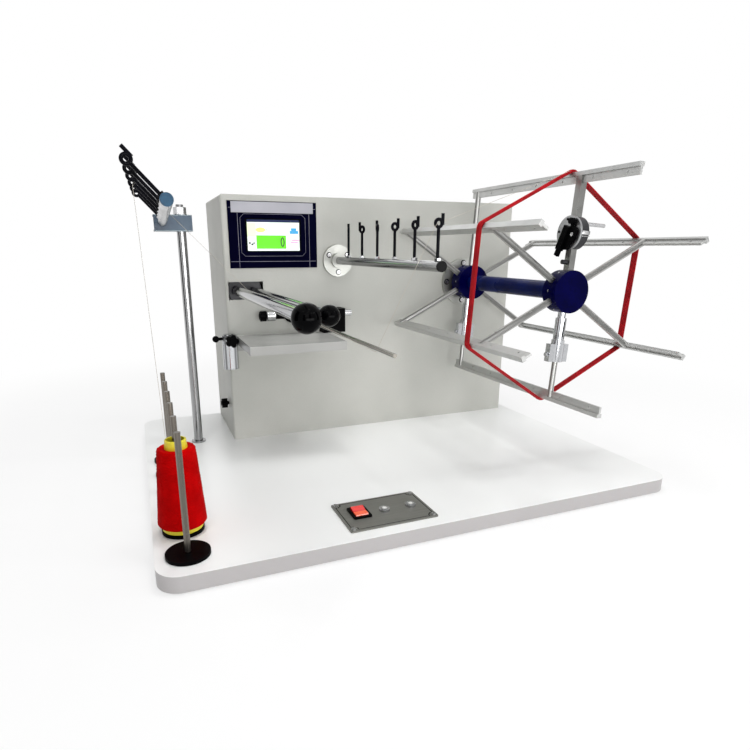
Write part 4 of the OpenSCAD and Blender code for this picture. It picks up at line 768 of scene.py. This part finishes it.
def hubCap():  # face of the front hub: sunk middle with a low boss, and a raised rim
    profile = [(0, -0.2), (4.5, -0.2), (5.5, 0.6), (27.4, 0.6), (29.8, 0), (31, 1), (31, 2.2), (0, 2.2)]
    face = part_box("hubs")[0].y
    return addTurned(profile, (reelAxis.x, face, reelAxis.z), axis="Y", steps=96)


finishPiece(hubScrews(), "hubScrews", "reel", "screw_steel", smooth=30)
finishPiece(hubCap(), "hubCap", "reel", "navy_anodised", smooth=25)
print("stage: reel dressed")


# yarn package, with its sizes in mm
coneLow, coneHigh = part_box("yarn_cone")
coneAxis = mid("yarn_cone")
coneAxis.z = coneLow.z
coneSizes = dict(foot=24, top=12, wall=1.5, height=(coneHigh.z - coneLow.z) / mm, footRound=(0.3, 0.4),
                 rim=[(0.35, -2.2), (0.5, -1.4), (0.2, -0.3), (-0.4, 0)], innerDrop=0.2, steps=96)
packSizes = dict(foot=29.5, top=22.5, start=6.5, length=96, rows=10, sunk=0.75, cut=0.02, gap=0.1,
                 dish=0.6, footShoulder=2.2, topShoulder=2.4, steps=96)


def coneTube():
    s = coneSizes
    foot, top, height = s["foot"], s["top"], s["height"]
    inward, up = s["footRound"]
    profile = [(foot - s["wall"], 0), (foot - inward, 0), (foot, up)]
    profile += [(top + out, height + rise) for out, rise in s["rim"]]
    profile += [(top - s["wall"], height - s["innerDrop"]), (foot - s["wall"], 0)]
    return addTurned(profile, coneAxis, steps=s["steps"])


tube = finishPiece(coneTube(), "coneTube", "cone", "cone_yellow", smooth=30)
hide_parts("yarn_cone")


def packRadius(share):
    return packSizes["foot"] + (packSizes["top"] - packSizes["foot"]) * share


def tubeRadius(height):
    return coneSizes["foot"] + (coneSizes["top"] - coneSizes["foot"]) * height / coneSizes["height"]


def packBody():  # the yarn under the last layer of windings
    s = packSizes
    length, rows = s["length"], s["rows"]
    footInside = (tubeRadius(s["start"]) + s["gap"], s["dish"])
    profile = [footInside, (packRadius(0) - s["footShoulder"], 0)]
    profile += [(packRadius(i / rows) - s["sunk"], (s["cut"] + (1 - 2 * s["cut"]) * i / rows) * length)
                for i in range(rows + 1)]
    topInside = (tubeRadius(s["start"] + length) + s["gap"], length - s["dish"])
    profile += [(packRadius(1) - s["topShoulder"], length), topInside, footInside]
    return addTurned(profile, coneAxis + Vector((0, 0, s["start"] * mm)), steps=s["steps"])


def packWinding():  # cross-wound strand over the package: up and down again at a steady rate
    s = dict(strand=0.34, passes=34, turnsPerPass=3.313, steps=52, margin=0.012, sunk=0.42, layers=3,
             layer=0.16, edge=0.03, edgeDrop=0.7)
    points = []
    for i in range(s["passes"] * s["steps"] + 1):
        run = i / s["steps"]
        share = run % 2 if run % 2 <= 1 else 2 - run % 2
        share = s["margin"] + (1 - 2 * s["margin"]) * share
        angle = tau * run * s["turnsPerPass"]
        layer = int(run) % s["layers"] * s["layer"]
        radius = packRadius(share) - s["strand"] - s["sunk"] + layer
        edge = min(share, 1 - share)
        if edge < s["edge"]:
            radius -= (s["edge"] - edge) / s["edge"] * s["edgeDrop"]
        height = packSizes["start"] + share * packSizes["length"]
        points.append(coneAxis + Vector((radius * cos(angle), radius * sin(angle), height)) * mm)
    return addStrand("packageWinding", points, s["strand"] * mm, sides=1)


finishPiece(packBody(), "packageBody", "cone", "yarn_package", smooth=40)
finishPiece(packWinding(), "packageWinding", "cone", "yarn_package", smooth=60)
print("stage: yarn package made")


# yarn from the package to the reel
yarnSizes = millimetres(radius=0.24, step=8)
yarnRuns = dict(  # the bodies at the ends of each run, and its points in mm past the last run's end
    fromCone=(("cone", "machine"), [(-344.82, -59.62, 425.84)]),
    overStand=(("machine",), [(-343.82, -55.22, 430.84), (-339.82, -50.82, 427.84),
                              (-304.97, -26, 399.55)]),
    toTension=(("machine", "tension"), [(-189.37, 66.4, 290.36)]),
    onTension=(("tension",), [(-169.83, 54.4, 278.09)]),
    toRod=(("tension", "machine"), [(-101.53, -254.6, 236.38)]),
    toGuide=(("machine", "traverse"), [(-22.4, -246.6, 379.8)]),
    toReel=(("traverse",), [(-17.4, -242.2, 380.8), (-12.4, -237.8, 381.8), (245.36, -155.8, 460.38)]),
)


def yarnStrand(name, points):
    ends = [Vector(p) * mm for p in points]
    dense = [ends[0]]
    for start, end in zip(ends, ends[1:]):
        steps = max(2, round((end - start).length / yarnSizes["step"]))
        dense += [start.lerp(end, i / steps) for i in range(1, steps + 1)]
    return addStrand(name, dense, yarnSizes["radius"])


reached = (-339.2, -192.2, 139.5)  # on the package
for key, (bodies, points) in yarnRuns.items():
    name = "yarn_" + key
    run = [reached, *points]
    reached = points[-1]
    carrier = bodies[0] if len(bodies) == 1 else None
    thread = finishPiece(yarnStrand(name, run), name, carrier, "yarn_thread", smooth=60)
    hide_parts("yarn_run")
    if len(bodies) == 2:
        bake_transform(thread)
print("stage: yarn strands made")


# small fittings on the machine
def plateBorder():  # engraved frame with a notch at each corner
    s = dict(inset=3.4 * mm, notch=7.6 * mm, shoulder=0.45, line=0.75 * mm, proud=0.1 * mm)
    low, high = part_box("switch_plate")
    inset, n, top = s["inset"], s["notch"], high.z
    h = n * s["shoulder"]
    x0, x1, y0, y1 = low.x + inset, high.x - inset, low.y + inset, high.y - inset
    spots = [(x0 + n, y0), (x1 - n, y0), (x1 - n, y0 + h), (x1 - h, y0 + n), (x1, y0 + n), (x1, y1 - n),
             (x1 - h, y1 - n), (x1 - n, y1 - h), (x1 - n, y1), (x0 + n, y1), (x0 + n, y1 - h),
             (x0 + h, y1 - n), (x0, y1 - n), (x0, y0 + n), (x0 + h, y0 + n), (x0 + n, y0 + h)]
    border = addStrand("plateBorder", [(x, y, top) for x, y in spots], s["line"], cyclic=True)
    for vertex in border.data.vertices:
        vertex.co.z = top + (vertex.co.z - top) * s["proud"] / s["line"]
    return border


finishPiece(plateBorder(), "plateBorder", "machine", "dark_print")


def buttonCap(node):  # domed cap with a groove, painted near white as its highlight
    s = dict(dome=[(0, 0.15), (0.55, 0.05), (0.62, -0.25), (0.7, 0), (0.94, -0.25)], over=0.06,
             skirtTop=-0.9, skirtFoot=-1.6)
    low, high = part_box(node)
    centre = mid(node)
    r = (high.x - low.x) / 2 / mm
    edge = r + s["over"]
    profile = [(r * share, height) for share, height in s["dome"]]
    profile += [(edge, s["skirtTop"]), (edge, s["skirtFoot"]), (0, s["skirtFoot"])]
    return addTurned(profile, (centre.x, centre.y, high.z))


for node in ("start_button", "stop_button"):
    finishPiece(buttonCap(node), node + "Cap", node, "cap_painted_glare", smooth=30)

flangeSizes = dict(  # circle of the screws and ring round each screw in mm, and the screws' turns
    reelFlangeRings=dict(centre=reelAxis, circle=35, inner=3.9, outer=5.6, turns=(0, 90, 180, 270)),
    guideFlangeRings=dict(centre=guideCentre, circle=19.5, inner=3.3, outer=4.8, turns=(30, 150, 270)),
)


def flangeRings(centre, circle, inner, outer, turns):  # dark gap round each countersunk screw
    s = dict(thick=6 * mm, proud=0.14, sunk=-0.1, steps=32)
    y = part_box("cabinet_shell")[0].y - s["thick"]
    profile = [(inner, s["proud"]), (outer, s["proud"]), (outer, s["sunk"]),
               (inner, s["sunk"]), (inner, s["proud"])]
    rings = []
    for turn in turns:
        x = centre.x + circle * mm * cos(radians(turn))
        z = centre.z + circle * mm * sin(radians(turn))
        rings.append(addTurned(profile, (x, y, z), axis="-Y", steps=s["steps"]))
    return joinPieces(rings)


for name, sizes in flangeSizes.items():
    finishPiece(flangeRings(**sizes), name, "machine", "dark_print")


# adjuster: profiles and boxes in mm, on the axes of arm 0
drumOut = 83 * mm
plateX = -9.8 * mm


def dressOnArm(piece, side, out, y, tip=0.0):  # from the arm's own axes to its place on arm 0
    piece.rotation_euler = (0, tip + armTilt, 0)
    piece.location = armPoint(0, side, out, y)
    return piece


def armTurned(profile, side, out, y, tip, steps):
    return dressOnArm(addTurned(profile, steps=steps), side, out, y, tip)


def crankPin():
    s = dict(side=6.4 * mm, out=drumOut + 13 * mm, y=frontY - 10 * mm, tip=quarter, steps=32)
    profile = [(0, 38.3), (2.1, 38.3), (2.75, 37.6), (2.75, 3), (3.4, 2.4), (3.4, 0), (0, 0)]
    return armTurned(profile, **s)


def drumClip():
    boxes = [((-7, -24.7, -2.8), (7, -21.5, 2.8), 0.7), ((-7.2, -24.3, -5.2), (7.2, -21.5, -4.4), 0.2)]
    plates = [addPlate(Vector(low) * mm, Vector(high) * mm, bevel * mm) for low, high, bevel in boxes]
    return dressOnArm(applyPlace(joinPieces(plates)), 0, drumOut, frontY)


def leverScrew():
    s = dict(side=plateX - 5.9 * mm, out=drumOut - 3 * mm, y=frontY - 13.5 * mm, tip=-quarter, steps=32)
    profile = [(0, 0.5), (0.7, 0.5), (0.9, 0.9), (2.1, 1.0), (2.7, 0.6), (2.7, 0), (0, 0)]
    return armTurned(profile, **s)


def plateScrews():
    s = dict(side=plateX - 1 * mm, tip=-quarter, steps=24)
    circle, turns = 19.5 * mm, (5, -40, 75)
    profile = [(0, 0.1), (0.8, 0.1), (1.0, 0.35), (1.7, 0.3), (1.9, -0.5), (0, -0.5)]
    heads = []
    for turn in turns:
        out = drumOut + circle * sin(radians(turn))
        y = frontY + circle * cos(radians(turn))
        heads.append(applyPlace(armTurned(profile, out=out, y=y, **s)))
    return joinPieces(heads)


def barrelBands():  # bright rolled rim at the barrel's foot and a groove band under its top
    low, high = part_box("spring_barrel")
    s = dict(axisIn=13 * mm, topDown=9 * mm, round=0.3, rim=(12.2, 13.2, 1.6), band=(12.6, 13.15, 1.2),
             steps=64)
    cut = s["round"]
    bands = []
    for z, (r0, r1, h) in ((low.z, s["rim"]), (high.z - s["topDown"], s["band"])):
        profile = [(r0, 0), (r1 - cut, 0), (r1, cut), (r1, h - cut), (r1 - cut, h), (r0, h), (r0, 0)]
        centre = (mid("spring_barrel").x, low.y + s["axisIn"], z)
        bands.append(addTurned(profile, centre, steps=s["steps"]))
    return joinPieces(bands)


def bracketEdgeHighlights():  # painted highlights: pale strips along the top and the foot of its front, where the folded sheet's rounded edges catch the light
    s = millimetres(height=1.2, proud=0.12, inset=0.4, margin=0.1, bevel=0.05)
    low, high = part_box("stand_bracket")
    x0, x1 = low.x + s["inset"], high.x - s["inset"]
    y0, y1 = low.y - s["proud"], low.y + s["proud"]
    feet = (low.z + s["margin"], high.z - s["margin"] - s["height"])
    return joinPieces([addPlate((x0, y0, foot), (x1, y1, foot + s["height"]), s["bevel"])
                       for foot in feet])


fittings = [  # what makes the piece, its body, finish, slot and smoothing angle
    (crankPin, "reel", "screw_steel", "chrome", 30),
    (drumClip, "reel", "screw_steel", "chrome", 30),
    (leverScrew, "adjuster", "screw_steel", "chrome", 30),
    (plateScrews, "adjuster", "dark_print", "chrome", 30),
    (barrelBands, "machine", "barrel_chrome", "chrome", 30),
    (bracketEdgeHighlights, "machine", "bracket_edge_highlight", "bracket_paint", None),
]
for make, body, finish, slot, smooth in fittings:
    finishPiece(make(), make.__name__, body, finish, smooth=smooth)
print("stage: small fittings made")


# room
roomSizes = dict(half=6.0, near=0.55, far=1.25, shade=0.66, floor=(0.9, 0.9, 0.9, 1), white=(1, 1, 1, 1))
roomLight = dict(sky=0.26, level=0.6)


def seenStraight(tree):  # 1 where the eye meets it directly, in a mirror or through glass
    path = addNode(tree, "LightPath").outputs
    seen = mathNode(tree, "MAXIMUM", path["Is Camera Ray"], path["Is Glossy Ray"])
    return mathNode(tree, "MAXIMUM", seen, path["Is Transmission Ray"])


def addFloor():  # white where it is far away, with the object's shadow near it
    clearSelection()
    bpy.ops.mesh.primitive_plane_add(size=2 * roomSizes["half"], location=(0, 0, 0))
    floor = bpy.context.object
    floor.name = "floor"
    made = bpy.data.materials.new("floorPale")
    tree = emptyTree(made)
    diffuse = addNode(tree, "BsdfDiffuse", {"Color": roomSizes["floor"]})
    glow = addNode(tree, "Emission", {"Color": roomSizes["white"]})
    where = addNode(tree, "TexCoord").outputs["Object"]
    away = addNode(tree, "VectorMath", {0: where}, operation="LENGTH").outputs["Value"]
    levels = {"Value": away, "From Min": roomSizes["near"], "From Max": roomSizes["far"],
              "To Min": roomSizes["shade"], "To Max": 1.0}
    fade = addNode(tree, "MapRange", levels, interpolation_type="SMOOTHSTEP")
    factor = mathNode(tree, "MULTIPLY", seenStraight(tree), fade.outputs[0])
    mix = addNode(tree, "MixShader", {0: factor, 1: diffuse.outputs[0], 2: glow.outputs[0]})
    addNode(tree, "OutputMaterial", {0: mix.outputs[0]})
    floor.data.materials.append(made)


def addSky():  # white to the eye, and a weaker even light on the object
    world = bpy.data.worlds.new("softRoom")
    bpy.context.scene.world = world
    tree = emptyTree(world)
    levels = {"Value": seenStraight(tree), "To Min": roomLight["sky"], "To Max": 1.0}
    strength = addNode(tree, "MapRange", levels)
    sky = addNode(tree, "Background", {"Color": roomSizes["white"], "Strength": strength.outputs[0]})
    addNode(tree, "OutputWorld", {0: sky.outputs[0]})


def darkFlags():  # dark upright boards out of view, that give polished metal its dark streaks
    flags = dict(  # x, y and z from and to
        left=((-1.7, -1.5), (-0.5, 0.25), (0, 1.5)), right=((1.55, 1.75), (-1.1, -0.55), (0, 1.5)),
        behindLeft=((-1.35, -0.95), (-1.75, -1.6), (0, 1.3)), back=((0.9, 1.35), (1.6, 1.75), (0, 1.4)),
        behind=((-0.15, 0.3), (-2.05, -1.95), (0, 1.4)), over=((-0.35, -0.1), (-0.9, 0.6), (2.05, 2.07)),
    )
    look = dict(colour=(0.012, 0.012, 0.014, 1), rough=0.9)
    made = bpy.data.materials.new("flagDark")
    made.use_nodes = True
    shader = made.node_tree.nodes["Principled BSDF"]
    feed(made.node_tree, shader, {"Base Color": look["colour"], "Roughness": look["rough"]})
    for name, spans in flags.items():
        clearSelection()
        bpy.ops.mesh.primitive_cube_add(size=1)
        flag = bpy.context.object
        flag.name = "flag_" + name
        flag.scale = [end - start for start, end in spans]
        flag.location = [(start + end) / 2 for start, end in spans]
        flag.data.materials.append(made)
        for ray in ("camera", "diffuse", "shadow", "transmission"):
            setattr(flag, "visible_" + ray, False)


def addLamp(name, place, target, size, power):
    lamp = bpy.data.lights.new(name, "AREA")
    lamp.shape = "RECTANGLE"
    lamp.size, lamp.size_y = size
    lamp.energy = power * roomLight["level"]
    holder = newObject(name, lamp)
    holder.location = place
    holder.visible_glossy = not name.startswith("tube")
    holder.rotation_euler = (Vector(target) - Vector(place)).to_track_quat("-Z", "Y").to_euler()


addFloor()
addSky()
darkFlags()

lamps = dict(  # place, target, width and height in metres, and power
    key=((-0.6, -1.9, 1.2), (0, 0, 0.15), (1.0, 0.8), 5),
    low=((0.15, -1.7, 0.24), (0.05, 0.1, 0.03), (1.6, 0.36), 18),
    above=((0.1, -0.4, 1.9), (0.05, -0.1, 0.0), (1.2, 1.2), 2),
    tubeLeft=((-0.35, -0.15, 1.8), (-0.3, -0.1, 0.0), (0.04, 1.5), 15),
    tubeMiddle=((0.2, -0.15, 1.8), (0.15, -0.1, 0.0), (0.04, 1.5), 10),
    tubeRight=((0.65, -0.15, 1.8), (0.5, -0.1, 0.0), (0.04, 1.5), 15),
    side=((1.9, -1.0, 1.0), (0, 0, 0.25), (0.8, 1.2), 8),
    back=((0.4, 1.9, 1.4), (0, 0, 0.2), (1.4, 0.8), 8),
)
spots = dict(height=1.55, target=(0, -0.1, 0.2), size=(0.04, 0.04), power=1.0,
             places=[(-0.9, -0.9), (-0.05, -1.15), (0.15, -0.7), (1.1, -1.2), (-0.75, 0.1), (-0.4, -1.5),
                     (0.5, -1.6)])
for number, (x, y) in enumerate(spots["places"]):
    lamps["spot%d" % number] = ((x, y, spots["height"]), spots["target"], spots["size"], spots["power"])
for name, lamp in lamps.items():
    addLamp(name, *lamp)

cameraSizes = dict(place=(-0.3532, -0.8373, 0.352), tip=74.3, swing=-21.7, focal=551.7, across=360.0,
                   down=403.8, frame=750, sensor=36, near=0.01)
frameWidth = cameraSizes["frame"]
lens = bpy.data.cameras.new("camera")
lens.sensor_width = cameraSizes["sensor"]
lens.lens = cameraSizes["focal"] / frameWidth * cameraSizes["sensor"]
lens.shift_x = (frameWidth / 2 - cameraSizes["across"]) / frameWidth
lens.shift_y = (cameraSizes["down"] - frameWidth / 2) / frameWidth
lens.clip_start = cameraSizes["near"]
camera = newObject("camera", lens)
camera.location = cameraSizes["place"]
camera.rotation_euler = (radians(cameraSizes["tip"]), 0, radians(cameraSizes["swing"]))
bpy.context.scene.camera = camera
bpy.context.scene.view_settings.view_transform = "Standard"
print("stage: room, lamps and camera set")
